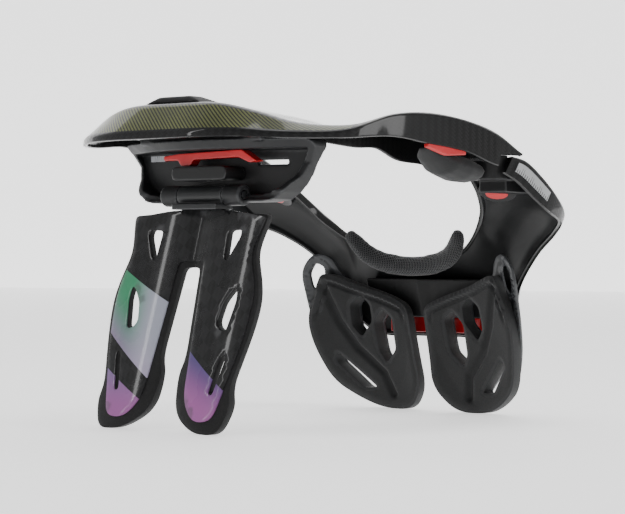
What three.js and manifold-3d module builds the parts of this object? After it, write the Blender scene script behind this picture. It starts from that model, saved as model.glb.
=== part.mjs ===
import * as THREE from 'three';
import { mergeVertices } from 'three/addons/utils/BufferGeometryUtils.js';
import Module from 'manifold-3d';

// A motocross neck brace, in millimetres: +X is the wearer's left, -Y the front and +Z up.
// It stands on the two feet of its back strut and on the lower ends of its two chest pads.
// The neck opening is about the Z axis until the last lines centre the whole on the origin.

const wasm = await Module();
wasm.setup();

// Collar
const COLLAR_HALF_WIDTH = 152;
const REAR_REACH = 162;
const FRONT_REACH = 165;
const SHOULDER_HEIGHT = 193;
const COLLAR_RISE = 32;
const FRAME_WALL = 3;
const FRONT_BULGE = 11;
const TOUCH_GAP = 0.3;
const KEEP_OUT_DEPTH = 25;

// Shoulder joints
const PIVOT_SIDE = 0.842105 * COLLAR_HALF_WIDTH;
const PIVOT_REACH = 0.30303 * FRONT_REACH;
const PIVOT_CLEARING = 27.5;
const PIVOT_RADIUS = 4;
const PIVOT_GRIP = 3.2;
const PIVOT_LENGTH = 18;
const HUB_RADIUS = 17;
const HUB_HEIGHT = 17;
const BOSS_SIDE = 0.703947 * COLLAR_HALF_WIDTH;
const BOSS_REACH = 0.527273 * FRONT_REACH;
const BOSS_HEIGHT = 169;
const BUTTON_LENGTH = 17;
const BUTTON_WIDTH = 10;
const BUTTON_TRAVEL = 2.5;
const BUTTON_SPARE = 1.4;
const BOSS_RIM = 6;
const SOCKET_DEPTH = 7;
const BOSS_DEPTH = 24;
const SCALE_THICKNESS = 1.2;
const TAB_DEPTH = 6;
const TAB_THICKNESS = 4;
const TAB_STATIONS = [6, 7];
const TIP_STATIONS = [7.5, 9];
const SCALE_STATIONS = [8.5, 10.5];

// Pads
const IMPACT_PAD_HALF_WIDTH = 36;
const SHOULDER_PAD_WIDTH = 34;
const NECK_ROLL_HEIGHT = 19;
const NECK_ROLL_THICKNESS = 13;

// Strut and its hinge
const HINGE_REACH = 111;
const HINGE_DROP = 31;
const HINGE_PIN_RADIUS = 3;
const KNUCKLE_RADIUS = 7.5;
const KNUCKLE_LENGTH = 16;
const SWING_ROOM = 5.2;
const SWING_REACH = 20;
const BARREL_LENGTH = 42;
const FOOT_REACH = 157.5;
const STRUT_HALF_WIDTH = 72;
const STRUT_WALL = 3;
const STRUT_CROWN = 3;
const BACKING_WALL = 3.4;
const FLANGE_DEPTH = 12;

// Housing under the table
const HOUSING_HALF_WIDTH = 90;
const HOUSING_TOP_WALL = 7;
const HOUSING_WALL = 5;
const MOUNT_HALF_WIDTH = 58;
const CLIP_DEPTH = 8;
const CLIP_LENGTH = 89;
const CLIP_SETBACK = 6.85;
const CLIP_PIN_THICKNESS = 4;
const CLIP_PIN_LENGTH = 14;
const SLOT_HEIGHT = 3;
const SLIDER_WIDTH = 52;
const SLIDER_HEIGHT = 12;
const SLIDER_DEPTH = 20;

// Chest pads
const PAD_HALF_SPAN = 106;
const PAD_HEIGHT = 112;
const TOE_SETBACK = 5;
const PAD_TOE_REACH = FRONT_REACH - TOE_SETBACK;
const PAD_EDGE = 9;
const PAD_DOME = 4;
const GROOVE_WIDTH = 6;
const GROOVE_DEPTH = 4;
const SHELL_WALL = 2.6;
const BRIDGE_HALF_WIDTH = 56;
const BRIDGE_HEIGHT = 30;
const ADJUSTER_HALF_WIDTH = 44;
const ADJUSTER_HEIGHT = 12;

const HINGE_HEIGHT = SHOULDER_HEIGHT - HINGE_DROP;
const SIDES = [['left', 1], ['right', -1]];

// Rows of a table as objects whose keys are the names of its columns
function table(columns, rows) {
  const names = columns.split(' ');
  return rows.map((row) => Object.fromEntries(names.map((name, i) => [name, row[i]])));
}

// Rear half, from the middle of the back to the tip of an arm. side is a share of the half width,
// reach of the rear reach, or of the front reach where negative, and rise of the collar rise above
// the shoulder seam.
const REAR_EDGE = table('side reach rise drop', [
  [0.000, 1.000, 0.34, 4],
  [0.296, 0.994, 0.34, 4],
  [0.490, 0.944, 0.33, 4],
  [0.645, 0.835, 0.30, 4],
  [0.790, 0.630, 0.36, 5],
  [0.860, 0.395, 0.72, 14],
  [0.905, 0.210, 0.79, 20],
  [0.948, 0.000, 0.69, 21],
  [0.980, -0.190, 0.42, 21],
  [0.993, -0.345, 0.05, 9],
]);
const REAR_RIDGE = table('side reach rise', [
  [0.000, 0.914, 1.00],
  [0.289, 0.901, 0.96],
  [0.461, 0.855, 0.77],
  [0.618, 0.750, 0.52],
  [0.763, 0.567, 0.50],
  [0.836, 0.365, 0.77],
  [0.875, 0.195, 0.84],
  [0.914, -0.010, 0.74],
  [0.945, -0.195, 0.52],
  [0.955, -0.345, 0.11],
]);
const REAR_RIM = table('side reach rise drop', [
  [0.000, 0.543, 0.84, 13],
  [0.224, 0.531, 0.84, 13],
  [0.382, 0.481, 0.72, 13],
  [0.487, 0.407, 0.56, 12],
  [0.553, 0.309, 0.48, 12],
  [0.572, 0.198, 0.64, 17],
  [0.579, 0.062, 0.60, 23],
  [0.579, -0.097, 0.48, 21],
  [0.586, -0.255, 0.22, 15],
  [0.599, -0.360, 0.02, 6],
]);

// Front half, from the middle of the chest up to a shoulder. height is a share of the shoulder
// height, drop the depth of the side wall and bulge a share of the front bulge.
const FRONT_EDGE = table('side reach height drop bulge', [
  [0.000, 1.000, 0.320, 4, 0.8],
  [0.197, 0.994, 0.320, 4, 0.8],
  [0.395, 0.958, 0.332, 5, 0.8],
  [0.526, 0.909, 0.420, 6, 1.0],
  [0.592, 0.873, 0.530, 5, 1.2],
  [0.737, 0.818, 0.653, 4, 1.2],
  [0.888, 0.758, 0.736, 5, 1.2],
  [0.993, 0.673, 0.793, 8, 1.1],
  [1.020, 0.582, 0.850, 14, 0.9],
  [1.016, 0.467, 0.925, 18, 0.7],
  [1.004, 0.364, 0.980, 18, 0.3],
  [0.993, 0.275, 0.996, 15, 0.0],
]);
const FRONT_RIM = table('side reach height drop', [
  [0.000, 0.800, 0.627, 5],
  [0.158, 0.794, 0.637, 5],
  [0.303, 0.770, 0.672, 5],
  [0.408, 0.721, 0.725, 5],
  [0.474, 0.679, 0.772, 6],
  [0.513, 0.648, 0.803, 6],
  [0.543, 0.618, 0.837, 6],
  [0.563, 0.582, 0.868, 6],
  [0.582, 0.539, 0.899, 6],
  [0.599, 0.491, 0.927, 6],
  [0.609, 0.448, 0.950, 6],
  [0.618, 0.409, 0.964, 6],
]);

// Strut outlines for one leg. side is a share of the strut's half width and height of the hinge height.
const STRUT_LEG = table('side height round', [
  [0.340, 0.938, 8],
  [0.875, 0.907, 3],
  [0.775, 0.750, 8],
  [0.917, 0.590, 14],
  [0.880, 0.380, 20],
  [0.760, 0.165, 14],
  [0.700, 0.055, 8],
  [0.460, 0.048, 10],
  [0.280, 0.135, 10],
  [0.245, 0.300, 12],
  [0.165, 0.718, 4],
]);
const BACKING_LEG = table('side height round', [
  [0.340, 0.929, 8],
  [0.893, 0.915, 4],
  [0.815, 0.755, 8],
  [0.965, 0.580, 14],
  [0.950, 0.440, 20],
  [0.830, 0.190, 8],
  [0.880, 0.110, 8],
  [0.790, 0.000, 8],
  [0.480, 0.000, 12],
  [0.170, 0.080, 14],
  [0.110, 0.235, 10],
  [0.175, 0.310, 10],
  [0.110, 0.690, 4],
]);
const STRUT_WINDOWS = [
  table('side height', [[0.430, 0.850], [0.610, 0.856], [0.620, 0.825], [0.500, 0.722], [0.452, 0.725]]),
  table('side height', [
    [0.705, 0.608], [0.650, 0.602], [0.555, 0.543], [0.520, 0.460], [0.570, 0.430], [0.665, 0.425],
    [0.722, 0.555],
  ]),
  table('side height', [[0.665, 0.325], [0.725, 0.330], [0.725, 0.300], [0.655, 0.160], [0.590, 0.165]]),
];

// Chest pad outlines. side is a share of the half span of the two pads and height of the pad height.
const PAD_OUTLINE = table('side height round', [
  [0.075, 0.740, 8],
  [0.260, 0.812, 10],
  [0.520, 0.880, 10],
  [0.700, 0.945, 5],
  [0.800, 0.965, 6],
  [0.880, 0.800, 16],
  [0.950, 0.620, 16],
  [0.930, 0.430, 18],
  [0.840, 0.190, 18],
  [0.660, 0.070, 12],
  [0.480, 0.000, 12],
  [0.210, 0.000, 14],
  [0.055, 0.170, 14],
  [0.070, 0.400, 10],
]);
const PAD_WINDOWS = [
  table('side height', [
    [0.430, 0.745], [0.500, 0.810], [0.600, 0.745], [0.610, 0.590], [0.540, 0.510], [0.430, 0.630],
  ]),
  table('side height', [
    [0.245, 0.655], [0.330, 0.715], [0.420, 0.620], [0.410, 0.410], [0.360, 0.330], [0.255, 0.430],
  ]),
  table('side height', [[0.490, 0.150], [0.600, 0.145], [0.790, 0.340], [0.760, 0.400]]),
];
const PAD_GROOVE = table('side height', [
  [0.790, 0.870], [0.700, 0.620], [0.590, 0.440], [0.400, 0.260], [0.355, 0.110],
]);
const SHELL_OUTLINE = table('side height round', [
  [0.100, 0.710, 8],
  [0.520, 0.850, 10],
  [0.700, 0.930, 8],
  [0.760, 1.080, 10],
  [0.885, 1.110, 12],
  [0.990, 0.980, 14],
  [0.980, 0.780, 14],
  [0.970, 0.640, 14],
  [0.930, 0.440, 16],
  [0.810, 0.220, 16],
  [0.640, 0.120, 10],
  [0.460, 0.060, 10],
  [0.230, 0.060, 12],
  [0.100, 0.200, 12],
]);
const STRAP_RING = table('side height', [
  [0.820, 1.010], [0.885, 1.040], [0.935, 0.960], [0.930, 0.860], [0.885, 0.820], [0.835, 0.880],
]);

// Housing rim as seen from behind. side is a share of the housing's half width and height runs from the
// hinge axis, 0, to the underside of the table, 1.
const HOUSING_OUTLINE = table('side height round', [
  [0.000, 1.000, 0],
  [0.960, 1.000, 4],
  [1.000, 0.880, 6],
  [0.920, 0.620, 14],
  [0.860, 0.260, 14],
  [0.700, -0.120, 10],
  [0.000, -0.120, 0],
]);

const MATERIALS = {
  carbon: { color: 0x1b1c1e, roughness: 0.18, metalness: 0.1 },
  plastic: { color: 0x232427, roughness: 0.55, metalness: 0.0 },
  rubber: { color: 0x1d1e1f, roughness: 0.8, metalness: 0.0 },
  foam: { color: 0x2c2d2f, roughness: 0.9, metalness: 0.0 },
  textile: { color: 0x2f3032, roughness: 0.95, metalness: 0.0 },
  red: { color: 0xe5262b, roughness: 0.35, metalness: 0.0 },
  silver: { color: 0xd4d6d8, roughness: 0.3, metalness: 0.8 },
  steel: { color: 0x77797c, roughness: 0.3, metalness: 1.0 },
};

const brace = new THREE.Group();

function addPiece(name, geometry, material) {
  const mesh = new THREE.Mesh(geometry, new THREE.MeshStandardMaterial(MATERIALS[material]));
  mesh.name = name;
  brace.add(mesh);
  return mesh;
}

// Solids for joining and cutting

function solidOf(geometry) {
  const bare = geometry.clone();
  bare.deleteAttribute('normal');
  bare.deleteAttribute('uv');
  const merged = mergeVertices(bare, 1e-4);
  return new wasm.Manifold(new wasm.Mesh({
    numProp: 3,
    vertProperties: new Float32Array(merged.attributes.position.array),
    triVerts: new Uint32Array(merged.index.array),
  }));
}

function geometryOf(solid) {
  const mesh = solid.getMesh();
  const geometry = new THREE.BufferGeometry();
  geometry.setAttribute('position', new THREE.BufferAttribute(new Float32Array(mesh.vertProperties), 3));
  geometry.setIndex(new THREE.BufferAttribute(new Uint32Array(mesh.triVerts), 1));
  geometry.computeVertexNormals();
  return geometry;
}

function largestOf(solid) {
  return solid.decompose().reduce((a, b) => (a.volume() > b.volume() ? a : b));
}

// A closed geometry from points and triangles, turned so that its faces point outwards
function closedGeometry(points, triangles) {
  let volume = 0;
  for (const [a, b, c] of triangles) {
    volume += points[a].dot(new THREE.Vector3().crossVectors(points[b], points[c]));
  }
  const indices = triangles.flatMap(([a, b, c]) => (volume > 0 ? [a, b, c] : [a, c, b]));
  const geometry = new THREE.BufferGeometry().setFromPoints(points);
  geometry.setIndex(indices);
  geometry.computeVertexNormals();
  return geometry;
}

// Two faces of the same grid size joined round their border into one closed body
function bodyBetween(front, back) {
  const rows = front.length;
  const columns = front[0].length;
  const points = [...front.flat(), ...back.flat()];
  const shift = rows * columns;
  const at = (i, j) => i * columns + j;
  const triangles = [];
  const quad = (a, b, c, d) => triangles.push([a, b, c], [a, c, d]);
  for (let i = 0; i + 1 < rows; i++) {
    for (let j = 0; j + 1 < columns; j++) {
      quad(at(i, j), at(i + 1, j), at(i + 1, j + 1), at(i, j + 1));
      quad(at(i, j) + shift, at(i, j + 1) + shift, at(i + 1, j + 1) + shift, at(i + 1, j) + shift);
    }
  }
  const border = [];
  for (let i = 0; i + 1 < rows; i++) border.push(at(i, 0));
  for (let j = 0; j + 1 < columns; j++) border.push(at(rows - 1, j));
  for (let i = rows - 1; i > 0; i--) border.push(at(i, columns - 1));
  for (let j = columns - 1; j > 0; j--) border.push(at(0, j));
  border.forEach((a, k) => {
    const b = border[(k + 1) % border.length];
    quad(b, a, a + shift, b + shift);
  });
  return closedGeometry(points, triangles);
}

// The grid moved along its normals by a distance, with sharp folds kept at their full thickness
function offsetGrid(grid, distance) {
  const faceNormal = (i, j) => {
    const across = new THREE.Vector3().subVectors(grid[i + 1][j + 1], grid[i][j]);
    const back = new THREE.Vector3().subVectors(grid[i + 1][j], grid[i][j + 1]);
    return across.cross(back).normalize();
  };
  return grid.map((row, i) => row.map((point, j) => {
    const normals = [];
    for (const a of [i - 1, i]) {
      for (const b of [j - 1, j]) {
        if (a >= 0 && b >= 0 && a + 1 < grid.length && b + 1 < row.length) normals.push(faceNormal(a, b));
      }
    }
    const mean = normals.reduce((sum, n) => sum.add(n), new THREE.Vector3()).normalize();
    const tightest = Math.min(...normals.map((n) => n.dot(mean)));
    return point.clone().addScaledVector(mean, distance / Math.max(tightest, 0.6));
  }));
}

// The grid with one more row or column on each of its borders, straight on by a distance
function extended(grid, distance) {
  const beyond = (from, to) => to.clone().add(new THREE.Vector3().subVectors(to, from).setLength(distance));
  const wide = grid.map((row) => [beyond(row[1], row[0]), ...row, beyond(row.at(-2), row.at(-1))]);
  const before = wide[0].map((point, j) => beyond(wide[1][j], point));
  const after = wide.at(-1).map((point, j) => beyond(wide.at(-2)[j], point));
  return [before, ...wide, after];
}

// A sheet of even thickness behind a grid of points
function sheetBody(grid, thickness) {
  return bodyBetween(grid, offsetGrid(grid, thickness));
}

// A closed body through rings of points, with its two ends closed to their middles
function loftBody(rings) {
  const count = rings[0].length;
  const points = rings.flat();
  const triangles = [];
  for (let i = 0; i + 1 < rings.length; i++) {
    for (let j = 0; j < count; j++) {
      const k = (j + 1) % count;
      triangles.push([i * count + j, i * count + k, (i + 1) * count + k]);
      triangles.push([i * count + j, (i + 1) * count + k, (i + 1) * count + j]);
    }
  }
  [0, rings.length - 1].forEach((end) => {
    const middle = rings[end].reduce((sum, p) => sum.add(p), new THREE.Vector3()).divideScalar(count);
    const centre = points.push(middle) - 1;
    for (let j = 0; j < count; j++) {
      const edge = [end * count + j, end * count + ((j + 1) % count)];
      triangles.push(end === 0 ? [centre, edge[1], edge[0]] : [centre, edge[0], edge[1]]);
    }
  });
  return closedGeometry(points, triangles);
}

// A smooth shape through corners, each rounded as its own round says or by a common one
function roundedShape(corners, commonRound) {
  const shape = new THREE.Shape();
  corners.forEach((corner, i) => {
    const before = corners[(i + corners.length - 1) % corners.length];
    const after = corners[(i + 1) % corners.length];
    const radius = corner.round ?? commonRound;
    const toward = (other) => {
      const run = new THREE.Vector2(other.x - corner.x, other.y - corner.y);
      return run.setLength(Math.min(radius, run.length() * 0.45)).add(new THREE.Vector2(corner.x, corner.y));
    };
    const start = toward(before);
    const end = toward(after);
    if (i === 0) shape.moveTo(start.x, start.y);
    else shape.lineTo(start.x, start.y);
    if (radius > 0) shape.quadraticCurveTo(corner.x, corner.y, end.x, end.y);
  });
  shape.closePath();
  return shape;
}

// A shape drawn in X and Z, as a prism from one Y to another
function prism(shape, fromY, toY) {
  const geometry = new THREE.ExtrudeGeometry(shape, { depth: toY - fromY, bevelEnabled: false, curveSegments: 2 });
  return geometry.rotateX(Math.PI / 2).translate(0, toY, 0);
}

// A slab over a rectangle in X and Z whose two faces lie at the Y that two functions give
function slab(width, height, columns, rows, rearY, frontY) {
  const face = (yAt) => Array.from({ length: rows + 1 }, (_, i) => (
    Array.from({ length: columns + 1 }, (__, j) => {
      const x = width[0] + ((width[1] - width[0]) * j) / columns;
      const z = height[0] + ((height[1] - height[0]) * i) / rows;
      return new THREE.Vector3(x, yAt(x, z), z);
    })
  ));
  return bodyBetween(face(rearY), face(frontY));
}

// The part of a slab inside an outline, with windows cut through it
function cutFromSlab(slabGeometry, outline, windows = []) {
  const bounds = new THREE.Box3().setFromBufferAttribute(slabGeometry.attributes.position);
  const through = (shape) => solidOf(prism(shape, bounds.min.y - 5, bounds.max.y + 5));
  const inside = solidOf(slabGeometry).intersect(through(outline));
  return windows.reduce((solid, hole) => solid.subtract(through(hole)), inside);
}

// Rails of the collar

function rearPoint(row) {
  const reach = row.reach * (row.reach > 0 ? REAR_REACH : FRONT_REACH);
  return new THREE.Vector3(row.side * COLLAR_HALF_WIDTH, reach, SHOULDER_HEIGHT + row.rise * COLLAR_RISE);
}

function frontPoint(row) {
  return new THREE.Vector3(row.side * COLLAR_HALF_WIDTH, -row.reach * FRONT_REACH, row.height * SHOULDER_HEIGHT);
}

// Points along a smooth rail from one tip to the other, from the points of its left half
function railFrom(points, steps) {
  const right = points.slice(1).reverse().map((p) => new THREE.Vector3(-p.x, p.y, p.z));
  const curve = new THREE.CatmullRomCurve3([...right, ...points]);
  return Array.from({ length: steps + 1 }, (_, i) => curve.getPoint(i / steps));
}

const gridFrom = (rails) => rails[0].map((_, i) => rails.map((rail) => rail[i]));
const lowered = (table_, point) => table_.map((row) => point(row).add(new THREE.Vector3(0, 0, -row.drop)));
const mix = (a, b, share) => new THREE.Vector3().lerpVectors(a, b, share);

const REAR_STEPS = 36;
const FRONT_STEPS = 33;
const REAR_ACROSS = { wall: 0, edge: 1, ridge: 3, rim: 6, skirt: 7 };

function rearGrid() {
  const wall = railFrom(lowered(REAR_EDGE, rearPoint), REAR_STEPS);
  const edge = railFrom(REAR_EDGE.map(rearPoint), REAR_STEPS);
  const ridge = railFrom(REAR_RIDGE.map(rearPoint), REAR_STEPS);
  const rim = railFrom(REAR_RIM.map(rearPoint), REAR_STEPS);
  const skirt = railFrom(lowered(REAR_RIM, rearPoint), REAR_STEPS);
  const blend = (a, b, share) => a.map((p, i) => mix(p, b[i], share));
  const slope = blend(edge, ridge, 0.5);
  const inner = [blend(ridge, rim, 0.4), blend(ridge, rim, 0.8)];
  return gridFrom([wall, edge, slope, ridge, ...inner, rim, skirt]);
}

function frontGrid() {
  const edgePoints = FRONT_EDGE.map(frontPoint);
  const rimPoints = FRONT_RIM.map(frontPoint);
  const inward = new THREE.Vector3(0, 0.6, -0.8);
  const normals = edgePoints.map((p, i) => {
    const along = new THREE.Vector3().subVectors(edgePoints[Math.min(i + 1, 11)], edgePoints[Math.max(i - 1, 0)]);
    return along.cross(new THREE.Vector3().subVectors(rimPoints[i], p)).normalize();
  });
  const bulged = (share, height) => edgePoints.map((p, i) => (
    mix(p, rimPoints[i], share).addScaledVector(normals[i], height * FRONT_BULGE * FRONT_EDGE[i].bulge)
  ));
  const wall = edgePoints.map((p, i) => p.clone().addScaledVector(inward, FRONT_EDGE[i].drop));
  const skirt = rimPoints.map((p, i) => p.clone().addScaledVector(inward, FRONT_RIM[i].drop));
  const lines = [wall, edgePoints, bulged(0.14, 0.6), bulged(0.4, 1), bulged(0.7, 0.85), rimPoints, skirt];
  return gridFrom(lines.map((line) => railFrom(line, FRONT_STEPS)));
}

const rear = rearGrid();
const front = frontGrid();
const SEAM_HEIGHT = SHOULDER_HEIGHT + TOUCH_GAP;
const ADJUSTER_BOTTOM = FRONT_EDGE[0].height * SHOULDER_HEIGHT + 0.5;

// The grid row nearest to a station of a table, counted from its middle row
const rowAt = (grid, stations, station, side) => (
  Math.round(((grid.length - 1) / 2) * (1 + (side * station) / (stations - 1)))
);

// The rows of a grid between two stations on one side
function rowsBetween(grid, stations, from, to, side) {
  const ends = [rowAt(grid, stations, from, side), rowAt(grid, stations, to, side)].sort((a, b) => a - b);
  return grid.slice(ends[0], ends[1] + 1);
}

// Upright cylinder between two heights
function post(x, y, fromZ, toZ, radius, sides) {
  const geometry = new THREE.CylinderGeometry(radius, radius, toZ - fromZ, sides).rotateX(Math.PI / 2);
  return geometry.translate(x, y, (fromZ + toZ) / 2);
}

// Bar along X, centred on the strut hinge
function hingeBar(fromX, toX, radius, sides) {
  const geometry = new THREE.CylinderGeometry(radius, radius, toX - fromX, sides).rotateZ(Math.PI / 2);
  return geometry.translate((fromX + toX) / 2, HINGE_REACH, HINGE_HEIGHT);
}

function box(fromX, toX, fromY, toY, fromZ, toZ) {
  const geometry = new THREE.BoxGeometry(toX - fromX, toY - fromY, toZ - fromZ);
  return geometry.translate((fromX + toX) / 2, (fromY + toY) / 2, (fromZ + toZ) / 2);
}

// The solid tip of an arm, lowered by a distance
function armTip(side, drop) {
  const rows = rowsBetween(rear, REAR_EDGE.length, TIP_STATIONS[0], TIP_STATIONS[1], side);
  return solidOf(loftBody(rows.map((row) => row.map((p) => p.clone().setZ(p.z - drop)))));
}

// Rear frame: a thin sheet whose arm tips are solid over the round seats of the shoulder hubs
function addRearFrame() {
  let frame = solidOf(sheetBody(rear, -FRAME_WALL));
  for (const [, side] of SIDES) {
    frame = frame.add(armTip(side, 0));
    const seat = post(side * PIVOT_SIDE, -PIVOT_REACH, SEAM_HEIGHT - 60, SEAM_HEIGHT, PIVOT_CLEARING, 40);
    frame = frame.subtract(solidOf(seat));
  }
  const boreTop = SEAM_HEIGHT + PIVOT_GRIP + TOUCH_GAP;
  const bore = post(PIVOT_SIDE, -PIVOT_REACH, SEAM_HEIGHT - 1, boreTop, PIVOT_RADIUS + TOUCH_GAP, 16);
  addPiece('rear_frame', geometryOf(largestOf(frame.subtract(solidOf(bore)))), 'carbon');
}

function addFrontFrame() {
  addPiece('front_frame', sheetBody(front, FRAME_WALL), 'carbon');
}

// What lies outside the inner face of the front frame, with the gap that its neighbours keep
function frontKeepOut() {
  const wider = extended(front, 2 * TOUCH_GAP);
  return solidOf(bodyBetween(offsetGrid(wider, -KEEP_OUT_DEPTH), offsetGrid(wider, FRAME_WALL + TOUCH_GAP)));
}

// The same for the rear frame
function rearKeepOut() {
  const wider = extended(rear, 2 * TOUCH_GAP);
  return solidOf(bodyBetween(offsetGrid(wider, KEEP_OUT_DEPTH), offsetGrid(wider, -FRAME_WALL - TOUCH_GAP)));
}

// Low mound on the middle of the table, in front of its ridge and cut to its surface
const IMPACT_PAD = table('width fromReach toReach height', [
  [1.00, 0.72, 0.915, 0.45],
  [0.92, 0.74, 0.905, 0.92],
  [0.40, 0.80, 0.880, 1.14],
]);

function addImpactPad() {
  const rings = IMPACT_PAD.map(({ width, fromReach, toReach, height }) => [
    [width, toReach], [-width, toReach], [-width, fromReach], [width, fromReach],
  ].map(([across, reach]) => (
    new THREE.Vector3(across * IMPACT_PAD_HALF_WIDTH, reach * REAR_REACH, SHOULDER_HEIGHT + height * COLLAR_RISE)
  )));
  const middle = (rear.length - 1) / 2;
  const near = rear.slice(middle - 4, middle + 5);
  const below = solidOf(bodyBetween(offsetGrid(near, TOUCH_GAP), offsetGrid(near, -COLLAR_RISE)));
  addPiece('impact_pad', geometryOf(largestOf(solidOf(loftBody(rings)).subtract(below))), 'rubber');
}

// Foam under an arm, a loft of rounded sections from its thin rear end to the shoulder hub
const SHOULDER_PAD = table('reach side top depth width', [
  [0.140, 0.815, 0.110, 0.06, 0.30],
  [0.090, 0.815, 0.070, 0.28, 0.75],
  [0.030, 0.822, 0.020, 0.50, 0.95],
  [-0.060, 0.830, -0.040, 0.58, 1.00],
  [-0.140, 0.836, -0.150, 0.48, 0.90],
  [-0.215, 0.840, -0.260, 0.20, 0.60],
]);

function addShoulderPad(name, side, keepOut) {
  const sides = 12;
  const rings = SHOULDER_PAD.map((row) => {
    const y = row.reach * (row.reach > 0 ? REAR_REACH : FRONT_REACH);
    const top = SHOULDER_HEIGHT + row.top * COLLAR_RISE;
    const halfWidth = (row.width * SHOULDER_PAD_WIDTH) / 2;
    const halfHeight = (row.depth * COLLAR_RISE) / 2;
    return Array.from({ length: sides }, (_, k) => {
      const turn = (2 * Math.PI * k) / sides;
      const x = side * row.side * COLLAR_HALF_WIDTH + halfWidth * Math.cos(turn);
      return new THREE.Vector3(x, y, top - halfHeight + halfHeight * Math.sin(turn));
    });
  });
  const seat = post(side * PIVOT_SIDE, -PIVOT_REACH, 0, 2 * SHOULDER_HEIGHT, PIVOT_CLEARING, 40);
  const tip = armTip(side, 0).add(armTip(side, TOUCH_GAP));
  const foam = solidOf(loftBody(rings)).subtract(solidOf(seat)).subtract(keepOut).subtract(tip);
  addPiece(name, geometryOf(largestOf(foam)), 'foam');
}

// Red tab that hangs under the edge of the side wall
function addReleaseTab(name, side) {
  const rows = rowsBetween(rear, REAR_EDGE.length, TAB_STATIONS[0], TAB_STATIONS[1], side);
  const last = rows.length - 1;
  const rings = rows.map((row, i) => {
    const depth = TAB_DEPTH * Math.sin(Math.PI * (0.14 + (0.72 * i) / last));
    const outer = row[REAR_ACROSS.wall].clone().add(new THREE.Vector3(-side * 0.4, 0, -TOUCH_GAP));
    const inner = outer.clone().add(new THREE.Vector3(-side * TAB_THICKNESS, 0, 0));
    const down = new THREE.Vector3(0, 0, -depth);
    return [outer, inner, inner.clone().add(down), outer.clone().add(down)];
  });
  addPiece(name, loftBody(rings), 'red');
}

// Shoulder hub and button boss, in one moulding behind the front frame
function bossFrame(side) {
  const facing = new THREE.Vector3(side * 0.25, 0.66, -0.71).normalize();
  const long = new THREE.Vector3().crossVectors(facing, new THREE.Vector3(0, 0, 1)).normalize();
  const short = new THREE.Vector3().crossVectors(long, facing).normalize();
  const centre = new THREE.Vector3(side * BOSS_SIDE, -BOSS_REACH, BOSS_HEIGHT);
  return { facing, long, short, centre };
}

// An oval cylinder on the boss axis, from one distance to another along it
function ovalOnBoss(side, halfLong, halfShort, from, to, sides) {
  const { facing, long, short, centre } = bossFrame(side);
  const ring = (distance) => Array.from({ length: sides }, (_, k) => {
    const turn = (2 * Math.PI * k) / sides;
    return centre.clone()
      .addScaledVector(facing, distance)
      .addScaledVector(long, halfLong * Math.cos(turn))
      .addScaledVector(short, halfShort * Math.sin(turn));
  });
  return loftBody([ring(from), ring(to)]);
}

function addLatchBoss(name, side, keepOut) {
  const x = side * PIVOT_SIDE;
  const top = SHOULDER_HEIGHT - TOUCH_GAP;
  const halfLong = BUTTON_LENGTH / 2 + BOSS_RIM;
  const halfShort = BUTTON_WIDTH / 2 + BOSS_RIM;
  let boss = solidOf(post(x, -PIVOT_REACH, top - HUB_HEIGHT, top, HUB_RADIUS, 28));
  const armX = [x - HUB_RADIUS * 0.8, x + HUB_RADIUS * 0.6];
  const arm = box(armX[0], armX[1], -BOSS_REACH - 4, -PIVOT_REACH, BOSS_HEIGHT - 2, top - 9);
  boss = boss.add(solidOf(arm));
  boss = boss.add(solidOf(ovalOnBoss(side, halfLong, halfShort, -BOSS_DEPTH, 0, 24)));
  boss = boss.subtract(keepOut);
  const wide = BUTTON_LENGTH / 2 + TOUCH_GAP;
  const socket = ovalOnBoss(side, wide, BUTTON_WIDTH / 2 + TOUCH_GAP, -SOCKET_DEPTH, BOSS_RIM, 20);
  boss = boss.subtract(solidOf(socket));
  if (side > 0) {
    const floor = top - PIVOT_LENGTH + PIVOT_GRIP - TOUCH_GAP;
    const bore = post(x, -PIVOT_REACH, floor, top + 1, PIVOT_RADIUS + TOUCH_GAP, 16);
    boss = boss.subtract(solidOf(bore));
  }
  addPiece(name, geometryOf(largestOf(boss)), 'plastic');
}

function addPivotPin() {
  const top = SEAM_HEIGHT + PIVOT_GRIP;
  addPiece('pivot_pin', post(PIVOT_SIDE, -PIVOT_REACH, top - PIVOT_LENGTH, top, PIVOT_RADIUS, 16), 'steel');
}

function addReleaseButton(name, side) {
  const seat = -SOCKET_DEPTH + TOUCH_GAP + BUTTON_TRAVEL + BUTTON_SPARE;
  addPiece(name, ovalOnBoss(side, BUTTON_LENGTH / 2, BUTTON_WIDTH / 2, seat, BUTTON_TRAVEL + 0.5, 20), 'red');
}

// Silver plate with the tick scale, on the side wall of the front frame
function addScalePlate(name, side) {
  const rows = rowsBetween(front, FRONT_EDGE.length, SCALE_STATIONS[0], SCALE_STATIONS[1], side);
  const outer = offsetGrid(rows.map((row) => row.slice(0, 2)), -(TOUCH_GAP + SCALE_THICKNESS));
  const strip = outer.map((row) => [mix(row[1], row[0], 0.22), mix(row[1], row[0], 0.72)]);
  const inner = offsetGrid(rows.map((row) => row.slice(0, 2)), -TOUCH_GAP);
  const back = inner.map((row) => [mix(row[1], row[0], 0.22), mix(row[1], row[0], 0.72)]);
  addPiece(name, bodyBetween(strip, back), 'silver');
}

// Padded roll along the front of the neck opening
const NECK_ROLL = table('side reach height size', [
  [0.000, 0.745, 0.590, 1.00],
  [0.140, 0.738, 0.600, 1.00],
  [0.250, 0.722, 0.626, 0.98],
  [0.305, 0.702, 0.664, 0.94],
  [0.345, 0.678, 0.706, 0.84],
  [0.360, 0.664, 0.735, 0.50],
]);

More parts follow.
